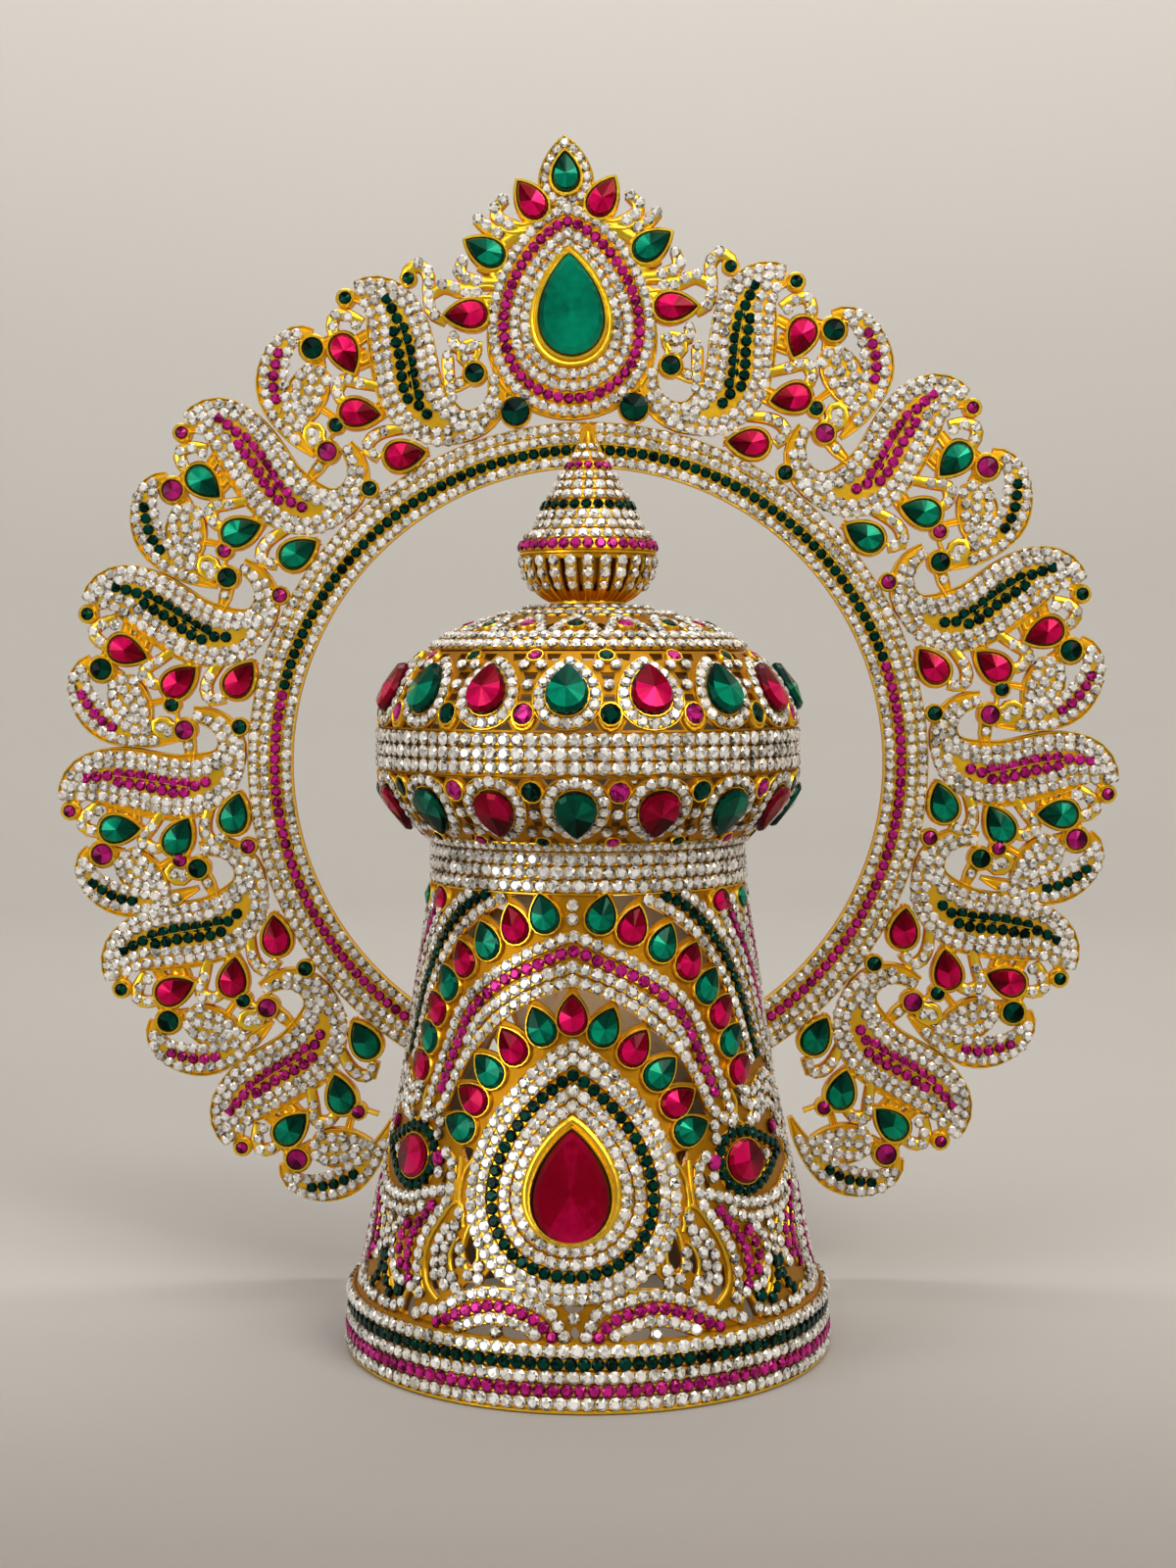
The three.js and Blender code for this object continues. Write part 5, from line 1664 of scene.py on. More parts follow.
# ------------------------------------------------------------------ finial
@dataclass
class Finial:
    """The ribbed cup and the stone-set cone on top of the dome."""

    cup: tuple[Pair, ...] = ((195.8, 10.0), (197.2, 12.6), (199.2, 15.2), (202.0, 17.2), (205.4, 18.2),
                             (209.3, 18.6))
    cone: tuple[Pair, ...] = ((209.7, 18.6), (211.4, 18.1), (215.3, 15.0), (218.0, 13.5), (220.8, 12.6),
                              (225.9, 9.3), (229.0, 7.9), (234.5, 4.1), (238.4, 1.9), (240.6, 0.5))
    ribs: int = 24
    rows: tuple[tuple[float, Gem, float], ...] = (
        (210.6, M, 1.5), (213.2, W, 1.5), (215.9, W, 1.42), (218.5, W, 1.42), (221.0, G, 1.42),
        (223.7, W, 1.4), (226.3, W, 1.35), (228.9, W, 1.3), (231.5, M, 1.2), (234.1, W, 1.1), (236.6, W, 0.9))

    def build(self, bench: Bench) -> None:
        """Builds the cup, the cone and their stones.

        Args:
            bench: Where pieces are finished.
        """
        stones = StoneSet(bench, "finial", 3)
        self.build_cup(bench, stones)
        self.build_cone(bench, stones)
        stones.finish()

    def build_cup(self, bench: Bench, stones: StoneSet) -> None:
        """Builds the cup, with slits between its stone-set ribs."""
        surface = TurnedSurface(self.cup, 1.2)
        metal = Metalwork()
        heights = np.linspace(195.8, 209.3, 12)
        outer = [(z, float(surface.radius_at(z)), 0.45) for z in heights]
        inner = [(z, float(surface.radius_at(z)) - 1.1, -1.0) for z in heights[::-1]]
        metal.turned(tuple(outer + inner), 72)
        cuts = []
        for i in range(self.ribs):
            turn = (i + 0.5) * 360 / self.ribs
            corners = ((turn - 1.8, 198.6), (turn + 1.8, 198.6), (turn + 2.2, 207.0), (turn - 2.2, 207.0))
            table = np.array(corners)
            out = surface.axes(np.array([turn]), np.array([203.0]))[2][0]
            cuts.append((surface.points(table[:, 0], table[:, 1]), out))
        metal.cut(cuts)
        for i in range(self.ribs):
            region = Region(surface, 1, i * 360 / self.ribs)
            metal.ribbon(region.course(((0, 196.6, 0.8), (0, 200.0, 1.3), (0, 204.4, 1.5), (0, 207.6, 1.5))),
                         ROW, 1.8)
            stones.singles(region, ((0, 203.4), (0, 206.5)), W, 1.5, 0.5)
            stones.singles(region, ((0, 200.4),), W, 1.25, 0.5)
        for height, half in ((196.2, 0.5), (208.7, 0.6)):
            metal.ribbon(hoop(surface, height, half), WIRE, 2.4, tall=1.2)
        core = [(z, float(surface.radius_at(z)) - 3.0, 0.4) for z in heights[1:]]
        back = [(z, float(surface.radius_at(z)) - 3.9, 0.0) for z in heights[:0:-1]]
        metal.turned(tuple(core + back), 48)
        bench.metal(metal, "finial_cup_metal", "finial_cup")

    def build_cone(self, bench: Bench, stones: StoneSet) -> None:
        """Builds the cone with a ribbon under each row."""
        surface = TurnedSurface(self.cone, 1.05)
        metal = Metalwork()
        outline = [(z, max(0.35, r - 1.05), 0.3) for z, r in self.cone[:-1]]
        inside = [(z, r - 2.4, 0.1) for z, r in self.cone[:5]][::-1]
        metal.turned((*outline, (240.7, 0.3, 1.0), (240.7, 0.05, 1.0), (226.0, 0.05, 0.1), *inside), 60)
        for i, (height, gem, radius) in enumerate(self.rows):
            around = FULL_TURN * (float(surface.radius_at(height)) + 0.5)
            number = max(5, round(around / (2 * radius + 0.22)))
            metal.ribbon(hoop(surface, height, radius), ROW, 2.0)
            stones.circle(surface, height, number, i * 7, gem, radius, 0.4)
        bench.metal(metal, "finial_cone_metal", "finial_cone")


# ------------------------------------------------------------------ halo
@dataclass
class HaloRing:
    """The flat ring in two halves, with four rows of stones."""

    middle: float = 92.4
    half: float = 6.55
    end: float = 155.0
    rows: tuple[float, ...] = (97.2, 94.1, 87.6)
    coloured: float = 90.9
    green_end: float = 72.5
    lean: float = -2.7

    def build(self, bench: Bench, surface: HaloSurface) -> None:
        """Builds both halves and their stones.

        Args:
            bench: Where pieces are finished.
            surface: The halo's plane.
        """
        stones = StoneSet(bench, "halo_ring", 4)
        for side_name, side in (("left", -1), ("right", 1)):
            region = Region(surface, side)
            metal = Metalwork()
            turns = np.linspace(0.15, self.end, 100)
            course = Course(surface, side * turns, np.full(100, self.middle), np.full(100, self.half))
            metal.ribbon(course, PLATE, 3.0)
            for reach in (*self.rows, self.coloured):
                line = np.linspace(2.0, self.end - 1.4, 140)
                self.row(region, stones, line, reach, side)
            for reach in (95.65, 92.5, 89.25):
                ridge = Course(surface, side * turns, np.full(100, reach), np.full(100, 0.3))
                metal.ribbon(ridge, WIRE, 3.0, above=-0.35)
            bench.metal(metal, f"halo_ring_{side_name}_metal", f"halo_ring_{side_name}", bright=True)
        stones.finish()

    def row(self, region: Region, stones: StoneSet, line: Array, reach: float, side: int) -> None:
        """Sets one row of a half, in two colours where it is the coloured one."""
        if reach != self.coloured:
            course = Course(region.surface, side * line, np.full(len(line), reach), line * 0 + 1.4)
            stones.row(course, W, 1.55, 3.12, -0.15)
            return
        change = self.green_end + side * self.lean
        for gem, start, end in ((G, line[0], change), (M, change + 2.0, line[-1])):
            part = np.linspace(start, end, 90)
            course = Course(region.surface, side * part, np.full(90, reach), part * 0 + 1.4)
            stones.row(course, gem, 1.55, 3.12, -0.15)


@dataclass(frozen=True)
class PlaqueRow:
    """A row of small stones of a plaque; `own` rows take the plaque's own colour."""

    kind: str
    rows: tuple[Pair, ...]


PLAQUE_ROWS = (
    PlaqueRow("white", ((-2.0, 152.7), (-3.7, 151.3), (-5.6, 147.9), (-7.0, 142.0), (-7.1, 132.2),
                        (-6.0, 119.8), (-5.9, 113.3), (-7.3, 108.0), (-9.0, 106.0), (-10.9, 106.6),
                        (-12.6, 108.7), (-13.8, 111.4), (-14.1, 114.2))),
    PlaqueRow("white", ((-1.9, 151.2), (-3.9, 148.2), (-5.6, 144.0), (-6.1, 138.6), (-5.8, 130.6),
                        (-4.95, 124.2), (-4.4, 117.0), (-4.9, 111.2), (-6.2, 106.9), (-8.2, 103.4),
                        (-10.6, 103.2), (-12.4, 104.8), (-13.6, 107.4))),
    PlaqueRow("white", ((-1.7, 147.5), (-1.6, 141.8), (-0.7, 135.6), (0.15, 129.5), (1.15, 123.5),
                        (1.75, 117.0), (1.0, 110.2), (-0.6, 105.4), (-2.4, 102.8), (-5.0, 101.2),
                        (-7.3, 101.0), (-9.8, 101.4))),
    PlaqueRow("white", ((-2.95, 150.2), (-2.9, 146.8), (-3.0, 141.0), (-2.1, 135.6), (-0.9, 128.6),
                        (0.1, 122.4), (0.2, 116.4), (-0.3, 111.4), (-1.9, 106.6), (-4.2, 104.6),
                        (-6.6, 104.4))),
    PlaqueRow("own", ((-4.2, 146.0), (-4.3, 142.9), (-4.4, 139.6))),
    PlaqueRow("own", ((-4.65, 136.4), (-4.5, 133.2), (-4.35, 130.0), (-3.95, 126.8), (-3.5, 123.7),
                      (-3.0, 120.4), (-2.95, 117.2))),
    PlaqueRow("own", ((-3.35, 136.6), (-3.1, 133.4), (-2.85, 130.2), (-2.4, 127.0), (-1.9, 124.0),
                      (-1.45, 120.8), (-1.3, 117.6))),
    PlaqueRow("own", ((-2.35, 114.4), (-2.9, 111.2))),
    PlaqueRow("white", ((6.7, 149.6), (7.8, 151.2), (9.4, 151.0), (11.25, 148.9), (12.4, 146.4),
                        (13.4, 143.2), (14.3, 139.6), (14.9, 135.8), (15.1, 132.6), (14.9, 129.4),
                        (14.85, 126.2))),
    PlaqueRow("white", ((7.6, 148.3), (8.75, 146.8), (9.9, 144.3), (11.0, 141.6), (12.0, 138.2),
                        (12.9, 134.8), (13.6, 131.8), (13.4, 128.6))),
    PlaqueRow("other", ((9.7, 148.2), (10.8, 146.0), (11.8, 143.9), (12.65, 141.4), (13.3, 138.5))),
    PlaqueRow("white", ((7.9, 139.6), (9.2, 139.4), (10.3, 137.6), (11.2, 135.6), (12.0, 133.4))),
    PlaqueRow("white", ((6.9, 137.2), (8.3, 136.6), (9.4, 134.6), (10.5, 132.7), (11.9, 131.4))),
    PlaqueRow("white", ((6.9, 133.9), (8.3, 132.7), (9.7, 130.5), (11.2, 129.5), (12.4, 129.0))),
    PlaqueRow("white", ((3.5, 128.0), (4.3, 130.6), (5.9, 131.6), (6.7, 129.0))),
    PlaqueRow("white", ((4.1, 112.7), (5.85, 112.9), (7.4, 111.8), (7.2, 108.9))),
    PlaqueRow("white", ((0.4, 142.8), (0.7, 146.0), (1.9, 148.3), (2.8, 145.7))),
)
SWAN = ((-14.4, 115.6, 2.3), (-14.2, 111.0, 2.9), (-12.9, 106.4, 3.4), (-10.2, 103.9, 4.0),
        (-7.3, 104.3, 5.0), (-4.6, 107.8, 7.4), (-2.9, 112.8, 9.1), (-2.2, 118.0, 9.7), (-2.4, 123.0, 9.8),
        (-3.0, 128.0, 9.8), (-3.6, 133.0, 9.6), (-4.0, 138.0, 9.1), (-4.1, 142.5, 8.1), (-3.6, 146.6, 6.9),
        (-2.7, 149.8, 4.9), (-1.2, 151.8, 3.0))
SMALL_SWAN = ((5.3, 147.2, 1.8), (6.6, 149.6, 2.4), (8.6, 149.6, 3.0), (10.7, 147.2, 3.9),
              (12.4, 143.6, 4.3), (13.5, 139.8, 4.2), (14.1, 136.0, 3.7), (14.5, 131.5, 3.1),
              (14.7, 127.0, 2.4), (14.6, 122.5, 1.5), (14.4, 119.2, 0.8))
WING = ((6.2, 137.2, 2.4), (7.4, 136.8, 4.6), (9.4, 134.8, 6.1), (11.6, 132.4, 5.6), (13.8, 131.0, 4.0))
TWIGS = (
    ((-0.4, 143.0, 1.5), (0.5, 146.4, 1.7), (1.9, 148.4, 1.8), (3.0, 145.6, 1.8), (3.2, 142.4, 1.5)),
    ((1.6, 124.6, 1.4), (3.6, 128.4, 1.7), (5.2, 131.4, 1.9), (6.8, 129.0, 1.8), (6.6, 125.4, 1.5)),
    ((1.2, 110.4, 1.4), (4.1, 112.7, 1.8), (6.2, 113.0, 1.9), (7.7, 111.0, 1.8), (7.0, 107.0, 1.6)),
)
LEAF = ((-11.2, 116.6, 1.6), (-8.8, 115.8, 1.9), (-6.2, 115.2, 0.9))
HOOK = ((-11.6, 119.8, 1.1), (-10.4, 121.8, 1.5), (-10.9, 125.4, 1.4), (-12.4, 126.4, 1.0),
        (-13.0, 123.6, 1.0), (-12.2, 121.4, 1.0))
BARS = (((-0.6, 101.4, 1.4), (1.4, 102.4, 1.2)), ((7.2, 112.2, 0.8), (8.6, 110.6, 0.8)),
        ((6.2, 140.4, 1.6), (6.7, 138.0, 1.7)), ((1.2, 118.6, 2.4), (3.8, 118.4, 2.6)),
        ((8.8, 124.0, 1.0), (9.6, 128.6, 1.2)), ((0.8, 133.6, 2.8), (2.4, 134.2, 3.0)),
        ((2.6, 142.2, 2.2), (4.4, 142.8, 2.0), (6.0, 143.4, 2.2)), ((-0.4, 139.4, 1.6), (1.6, 139.0, 1.8)))
RIBS = (
    ((2.8, 143.2), (4.6, 143.6), (5.6, 144.4)), ((2.8, 141.4), (4.6, 141.6), (5.8, 142.0)),
    ((1.0, 135.0), (2.0, 134.6)), ((1.0, 132.4), (2.0, 132.6)), ((1.6, 119.4), (3.0, 119.4)),
    ((-12.2, 119.8), (-12.7, 122.8)), ((10.4, 120.4), (12.2, 119.6)),
)
PLAQUE_DROPS = ((3.15, 137.2, 174.0), (5.6, 120.6, 232.0), (3.15, 103.6, 248.0))
FIRST_LEAVES = (
    ((-13.6, 124.4, 1.2), (-12.4, 125.0, 1.8), (-10.8, 125.4, 1.9), (-9.9, 127.0, 1.8), (-10.4, 129.8, 1.5)),
    ((-8.9, 126.0, 1.0), (-8.6, 123.8, 1.8), (-8.1, 120.4, 1.8), (-7.7, 116.6, 1.7), (-7.3, 113.8, 1.4)),
)
FIRST_STONES = ((-12.7, 125.0), (-11.0, 125.4), (-9.9, 127.0), (-10.3, 129.4), (-8.7, 124.6), (-8.4, 121.6),
                (-8.0, 118.6), (-7.6, 115.6), (-7.4, 112.8))


@dataclass
class Plaque:
    """One plaque of the halo: a large swan, a small swan, three drops and their twigs."""

    side_name: str
    side: int
    number: int
    beak: float
    spread: float
    drop: Triple = (7.8, 11.5, 3.0)

    def settings(self, region: Region, metal: Metalwork, stones: StoneSet) -> None:
        """Sets the three drops and the round stones, each on a plate with a bezel."""
        own, low = (Gem.MAGENTA, Gem.DEEP_GREEN)[:: 1 if self.number % 2 else -1]
        other = E if self.number % 2 else R
        width, length, _ = self.drop
        for anchor in PLAQUE_DROPS:
            outline = drop_outline(length + 2.7, width + 2.5, 24)
            metal.plate(region.loop(anchor, outline, 0.6), 0.1)
            rim = region.loop(anchor, drop_outline(length + 1.3, width + 1.2, 24), 0.65)
            metal.ribbon(rim, BEZEL, 1.6, tall=1.1)
            stones.large(region, anchor, stones.bench.drop, self.drop, 0.1, other)
        rounds = [(0.0, 151.1, 1.65, 2.9), (-11.6, 117.4, 2.65, 3.8), (6.15, 143.6, 3.0, 4.3),
                  (9.3, 121.8, 1.9, 2.75)]
        if self.number:
            rounds.append((-13.1, 101.6, 2.0, 2.6))
        for turn, reach, radius, rim in rounds:
            metal.plate(region.loop((turn, reach, 0), oval_outline(2 * rim, 2 * rim, 18), 0.5), 0.05)
            size = 2 * radius + 0.9
            edge = region.loop((turn, reach, 0), oval_outline(size, size, 18), 0.5)
            metal.ribbon(edge, BEZEL, 1.4, tall=0.95)
            gem = low if turn < -13 else own
            stones.large(region, (turn, reach, 0), stones.bench.oval, (2 * radius, 2 * radius, 1.9), 0.1, gem)

    def build(self, bench: Bench, surface: HaloSurface, stones: StoneSet) -> None:
        """Builds the plaque.

        Args:
            bench: Where pieces are finished.
            surface: The halo's plane.
            stones: Trays of this side of the halo.
        """
        region = Region(surface, self.side, self.beak, self.spread)
        metal = Metalwork()
        for rows in (SWAN, SMALL_SWAN, WING, LEAF):
            metal.ribbon(region.course(rows), PLATE, 2.6)
        for rows in BARS:
            metal.ribbon(region.course(rows), PLATE, 2.0, above=-0.3)
        for rows in (*TWIGS, HOOK):
            metal.ribbon(region.course(rows), STEM, 2.0)
        for rows in RIBS:
            metal.ribbon(region.course(rows, 0.55), STEM, 1.2)
        metal.ribbon(region.course(((-4.4, 138.0), (-3.6, 128.0), (-2.2, 116.6)), 0.35), WIRE, 3.0)
        self.settings(region, metal, stones)
        own, other = (M, G) if self.number % 2 else (G, M)
        kinds = {"white": (W, 1.56), "own": (own, 1.62), "other": (other, 1.58)}
        for row in PLAQUE_ROWS:
            gem, radius = kinds[row.kind]
            stones.row(region.course(row.rows), gem, radius, 3.16, -0.1)
        stones.singles(region, ((-9.0, 115.9), (-10.9, 122.2), (-11.6, 124.6)), W, 1.3, 0.1)
        if self.number == 0:
            for rows in FIRST_LEAVES:
                metal.ribbon(region.course(rows), STEM, 2.0)
            stones.singles(region, FIRST_STONES, W, 1.45, 0.2)
        name = f"halo_plaque_{self.side_name}_{self.number + 1}"
        bench.metal(metal, f"{name}_metal", name, bright=True)


@dataclass
class Crest:
    """The crest over the ring: the large drop in its rings, the top drop, petals and twigs."""

    lean: float = -2.15
    stone: Triple = (18.4, 28.5, 4.2)
    top_stone: Triple = (7.6, 11.0, 3.2)
    petal: Triple = (7.8, 12.0, 3.2)
    petals: tuple[tuple[str, float, float, float], ...] = (
        ("upper", 3.7, 162.8, 28.0), ("middle", 9.2, 150.4, 50.0), ("lower", 13.0, 134.0, 78.0))
    curl: tuple[tuple[float, ...], ...] = (
        (15.6, 133.8, 1.4), (16.9, 137.4, 1.7), (16.6, 143.0, 1.7), (15.9, 148.0, 1.9), (16.7, 151.8, 1.9),
        (18.2, 150.2, 1.9), (18.2, 147.6, 1.7))
    twigs: tuple[tuple[tuple[float, ...], ...], ...] = (
        ((8.4, 141.0, 2.0), (10.9, 142.4, 2.2), (12.4, 145.8, 1.9), (11.8, 149.6, 1.6)),
        ((10.9, 139.6, 2.0), (13.0, 141.4, 2.2), (14.6, 143.6, 1.9), (16.4, 142.4, 1.4)),
        ((5.2, 155.6, 1.8), (6.6, 157.4, 2.1), (7.4, 161.0, 1.9), (6.2, 164.2, 1.6)),
        ((7.0, 154.6, 2.0), (8.4, 156.8, 2.1), (9.4, 160.0, 1.6)))
    stems: tuple[tuple[tuple[float, ...], ...], ...] = (
        ((2.4, 157.6, 1.6), (4.8, 154.6, 2.2), (7.2, 151.6, 2.0)),
        ((8.6, 137.0, 2.6), (11.2, 134.6, 2.4)), ((8.0, 141.0, 2.4), (8.6, 146.4, 2.2)),
        ((6.6, 146.4, 2.0), (8.0, 148.6, 2.0)), ((9.6, 131.4, 2.0), (11.2, 132.8, 2.0)))
    ribs: tuple[tuple[Pair, ...], ...] = (
        ((3.2, 156.8), (4.6, 156.0), (5.8, 156.8)), ((4.4, 154.2), (6.0, 154.2), (7.0, 155.4)),
        ((8.4, 144.4), (9.6, 144.6), (10.4, 146.0)), ((8.6, 139.6), (10.0, 140.6), (11.2, 140.6)),
        ((9.2, 137.0), (11.0, 138.0), (12.6, 138.0)))
    whites: tuple[Pair, ...] = (
        (6.4, 163.9), (7.4, 161.9), (7.05, 158.7), (6.2, 156.7), (9.2, 159.8), (8.5, 157.4), (7.5, 154.9),
        (11.8, 149.2), (12.6, 146.6), (11.95, 144.2), (10.7, 142.6), (14.7, 144.3), (13.4, 142.4),
        (12.3, 139.9), (11.1, 139.4), (16.5, 152.1), (15.8, 149.2), (16.1, 146.0), (16.5, 142.9),
        (16.8, 139.8), (16.6, 136.6))

    def rings(self, region: Region, metal: Metalwork, stones: StoneSet) -> None:
        """Lays the rows round the large drop and the stones round the top drop."""
        plates = ((130.4, 61.4, 48.8, 48), (170.0, 20.8, 15.8, 28))
        for reach, length, width, count in plates:
            edge = region.loop((0, reach, 0), drop_outline(length - 0.4, width - 0.4, count), 0.45)
            metal.plate(edge, -0.3)
            metal.ribbon(edge, STEM, 2.2)
        rings = ((13.4, 149.4, 112.6, W), (16.5, 152.8, 109.1, W), (19.7, 156.0, 105.6, M),
                 (22.8, 159.4, 102.0, W))
        for i, (half, top, bottom, gem) in enumerate(rings):
            size = (top - bottom, 2 * half, 60)
            outline = drop_outline(*size) + (oval_outline(*size) - drop_outline(*size)) * 0.16 * i
            ring = region.loop((0, (top + bottom) / 2, 0), outline, 1.45)
            metal.ribbon(ring, ROW, 2.4, above=-0.4)
            stones.row(ring, gem, 1.56, 3.1, 0.1)
        for reach, (width, length, _), grow, half in (
                (132.2, self.stone, 0.9, 0.8), (132.2, self.stone, 2.3, 0.9),
                (169.9, self.top_stone, 0.7, 0.6)):
            rim = region.loop((0, reach, 0), drop_outline(length + 2.3 * grow, width + 2 * grow, 40), half)
            metal.ribbon(rim, BEZEL, 1.8, above=0.5 if grow < 2 else -0.1)
        crown = region.loop((0, 169.9, 0), drop_outline(16.8, 12.2, 40), 1.3)
        stones.row(crown, W, 1.45, 3.0, 0.0)

    def bud(self, region: Region, metal: Metalwork) -> None:
        """Lays the bud that covers the ring's seam over the finial."""
        edge = ((-3.1, 86.4), (-2.9, 89.4), (-1.9, 92.8), (-1.0, 96.2), (0.0, 98.6))
        mirrored = tuple((-turn, reach) for turn, reach in edge[-2::-1])
        metal.plate(region.course(edge + mirrored, closed=True), 1.5, 2.6)
        for turn in (-2.0, -0.7, 0.7, 2.0):
            vein = region.course(((turn, 87.2), (turn * 0.8, 91.0), (turn * 0.3, 95.6)), 0.55)
            metal.ribbon(vein, WIRE, 1.4, above=1.5)

    def build(self, bench: Bench, surface: HaloSurface) -> None:
        """Builds the crest and its stones.

        Args:
            bench: Where pieces are finished.
            surface: The halo's plane.
        """
        metal = Metalwork()
        stones = StoneSet(bench, "crest", 5)
        for side_name, side in (("left", -1), ("right", 1)):
            region = Region(surface, side, side * self.lean)
            for rows in (self.curl, *self.twigs, *self.stems):
                metal.ribbon(region.course(rows), STEM, 2.0)
            for rows in self.ribs:
                metal.ribbon(region.course(rows, 0.6), STEM, 1.4, above=0.3)
            stones.singles(region, self.whites, W, 1.66, 0.1)
            for label, turn, reach, lean in self.petals:
                anchor = (turn, reach, lean)
                width, length, _ = self.petal
                metal.plate(region.loop(anchor, drop_outline(length + 2.8, width + 2.6, 24), 0.6), 0.1)
                rim = region.loop(anchor, drop_outline(length + 1.3, width + 1.2, 24), 0.65)
                metal.ribbon(rim, BEZEL, 1.6, tall=1.2)
                name = f"crest_stone_{label}_{side_name}"
                gem = E if label == "middle" else R
                bench.gem(region, anchor, bench.drop, self.petal, 0.2, gem, f"{name}_cut", name)
            name = f"crest_round_stone_{side_name}"
            low, knob = (9.45, 103.9, 0), (18.1, 149.0, 0)
            metal.plate(region.loop(low, oval_outline(9.4, 9.4, 24), 0.5), 0.1)
            bench.gem(region, low, bench.oval, (8.4, 8.4, 3.2), 0.3, Gem.DEEP_GREEN, f"{name}_cut", name)
            metal.plate(region.loop(knob, oval_outline(5.2, 5.2, 18), 0.5), 0.05)
            stones.large(region, knob, bench.oval, (3.6, 3.6, 1.6), 0.1, Gem.DEEP_GREEN)
        self.bud(Region(surface), metal)
        upright = Region(surface, 1, self.lean)
        self.rings(upright, metal, stones)
        bench.gem(upright, (0, 132.2, 0), bench.brighter_painted_drop, self.stone, 0.5, E, "crest_stone_cut",
                  "crest_stone")
        bench.gem(upright, (0, 169.9, 0), bench.drop, self.top_stone, 0.3, E, "crest_top_stone_cut",
                  "crest_top_stone")
        stones.finish()
        bench.metal(metal, "halo_crest_metal", "halo_crest", bright=True)


@dataclass
class Halo:
    """The whole halo: ring, crest, twelve plaques and the straps that carry it."""

    centre: float = 150.6
    front: float = 57.4
    beaks: tuple[tuple[str, int, tuple[float, ...]], ...] = (
        ("left", -1, (27.45, 50.7, 73.2, 95.1, 115.7, 137.9)),
        ("right", 1, (23.3, 47.1, 70.9, 93.2, 114.4, 136.9)))
    full_pitch: float = 23.8
    last_pitch: float = 22.0

    def build(self, bench: Bench) -> None:
        """Builds every piece of the halo.

        Args:
            bench: Where pieces are finished.
        """
        surface = HaloSurface(self.centre, self.front)
        HaloRing().build(bench, surface)
        Crest().build(bench, surface)
        for side_name, side, beaks in self.beaks:
            stones = StoneSet(bench, f"halo_{side_name}_plaques", 6 + side)
            pitches = [after - beak for beak, after in zip(beaks, beaks[1:])] + [self.last_pitch]
            for number, (beak, pitch) in enumerate(zip(beaks, pitches)):
                plaque = Plaque(side_name, side, number, beak, pitch / self.full_pitch)
                plaque.build(bench, surface, stones)
            stones.finish()
            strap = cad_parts[f"bracket_{side_name}"]
            strap.data.materials.clear()
            strap.data.materials.append(bench.paints.plain_gold)
            LOG.info("%-40s keeps its shape", strap.name)


# ------------------------------------------------------------------ studio
@dataclass(frozen=True)
class Softbox:
    """A soft rectangular light that looks at a point."""

    name: str
    place: Triple
    target: Triple
    size: Pair
    power: float
    tint: Colour = (1.0, 1.0, 1.0)


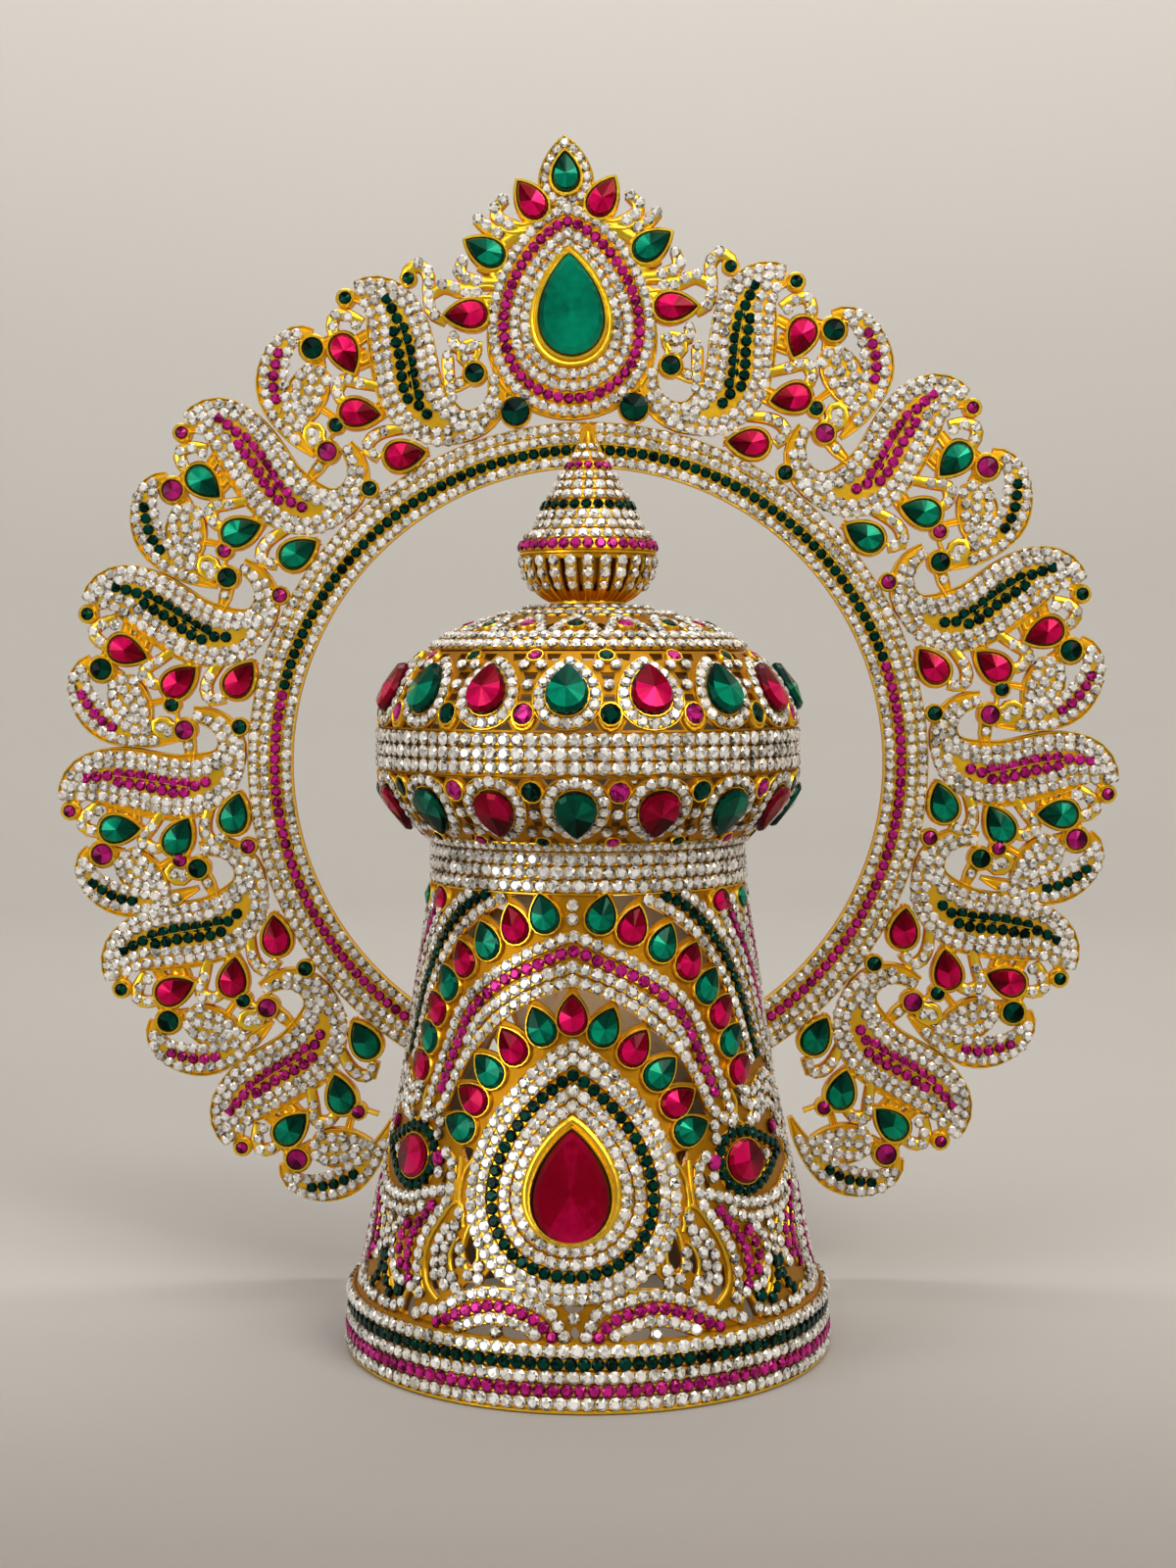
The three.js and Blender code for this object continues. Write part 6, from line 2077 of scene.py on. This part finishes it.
@dataclass
class Studio:
    """Pale paper sweep, soft lights and the camera."""

    camera_place: Triple = (0.0, -0.5885, 0.1799)
    camera_down: float = 3.09
    lens: float = 51.13
    sweep: tuple[Pair, ...] = ((0.0, 0.0), (1.1, 0.0), (1.32, 0.03), (1.5, 0.12), (1.63, 0.28), (1.7, 0.5),
                               (1.72, 0.8), (1.72, 2.4))
    softboxes: tuple[Softbox, ...] = (
        Softbox("key", (0.75, -1.0, 0.95), (0, 0, 0.16), (0.7, 0.7), 11.0, (1.0, 0.97, 0.92)),
        Softbox("fill", (-0.95, -0.8, 0.45), (0, 0, 0.16), (0.6, 0.9), 6.5, (0.97, 0.98, 1.0)),
        Softbox("top", (0.0, -0.1, 1.35), (0, 0, 0.16), (1.0, 1.0), 6.0),
        Softbox("halo", (0.0, -0.45, 0.62), (0, 0.057, 0.27), (0.5, 0.2), 0.7, (1.0, 0.97, 0.92)),
        Softbox("wash", (0.0, 0.45, 1.6), (0, 1.7, 0.9), (1.6, 0.4), 14.0, (1.0, 0.98, 0.95)),
    )
    glows: tuple[tuple[str, float, float], ...] = (("glow_low", 0.07, 0.07), ("glow_dome", 0.16, 0.03))

    def build(self, bench: Bench) -> None:
        """Builds the camera, the floor and the lights.

        Args:
            bench: Where the floor gets its finish.
        """
        scene = bpy.context.scene
        camera = bpy.data.cameras.new("camera")
        camera.sensor_fit, camera.sensor_height, camera.lens = "VERTICAL", 36.0, self.lens
        camera.clip_start, camera.clip_end = 0.01, 20.0
        view = linked("camera", camera)
        view.location = self.camera_place
        view.rotation_euler = (math.radians(90 - self.camera_down), 0, 0)
        scene.camera = view
        self.floor(bench)
        for box in self.softboxes:
            light = bpy.data.lights.new(box.name, "AREA")
            light.shape, light.size, light.size_y = "RECTANGLE", *box.size
            light.energy, light.color = box.power, box.tint
            lamp = linked(box.name, light)
            lamp.location = box.place
            away = Vector(box.place) - Vector(box.target)
            lamp.rotation_euler = away.to_track_quat("Z", "Y").to_euler()
            lamp.visible_camera = False
        for label, height, power in self.glows:
            light = bpy.data.lights.new(label, "POINT")
            light.energy, light.color, light.shadow_soft_size = power, (1.0, 0.9, 0.78), 0.025
            linked(label, light).location = (0.0, 0.0, height)
        world = bpy.data.worlds.new("studio")
        world.use_nodes = True
        world.node_tree.nodes["Background"].inputs["Color"].default_value = (0.92, 0.94, 1.0, 1)
        world.node_tree.nodes["Background"].inputs["Strength"].default_value = 0.35
        scene.world = world
        scene.view_settings.view_transform = "Standard"

    def floor(self, bench: Bench) -> None:
        """Turns the floor and its sweep from one outline."""
        mesh = bmesh.new()
        ring = [mesh.verts.new((radius, 0.0, height)) for radius, height in self.sweep]
        edges = [mesh.edges.new(pair) for pair in zip(ring, ring[1:])]
        bmesh.ops.spin(mesh, geom=ring + edges, cent=(0, 0, 0), axis=(0, 0, 1), dvec=(0, 0, 0),
                       angle=FULL_TURN, steps=96, use_merge=True, use_duplicate=False)
        bmesh.ops.remove_doubles(mesh, verts=mesh.verts, dist=1e-5)
        bmesh.ops.recalc_face_normals(mesh, faces=mesh.faces)
        lowest = min(mesh.faces, key=lambda face: face.calc_center_median().z)
        lowest.normal_update()
        if lowest.normal.z < 0:
            bmesh.ops.reverse_faces(mesh, faces=mesh.faces)
        data = bpy.data.meshes.new("studio_floor")
        mesh.to_mesh(data)
        mesh.free()
        data.shade_smooth()
        data.materials.append(bench.paints.paper)
        floor = linked("studio_floor", data)


def main() -> None:
    """Builds the studio, then every sub-assembly in order."""
    logging.basicConfig(level=logging.INFO, format="%(name)s: %(message)s")
    bench = Bench(Paints())
    Studio().build(bench)
    CrownBody().build(bench)
    Dome().build(bench)
    Finial().build(bench)
    Halo().build(bench)
    LOG.info("%d pieces, %d triangles", bench.pieces, bench.triangles)


if __name__ == "__main__":
    main()
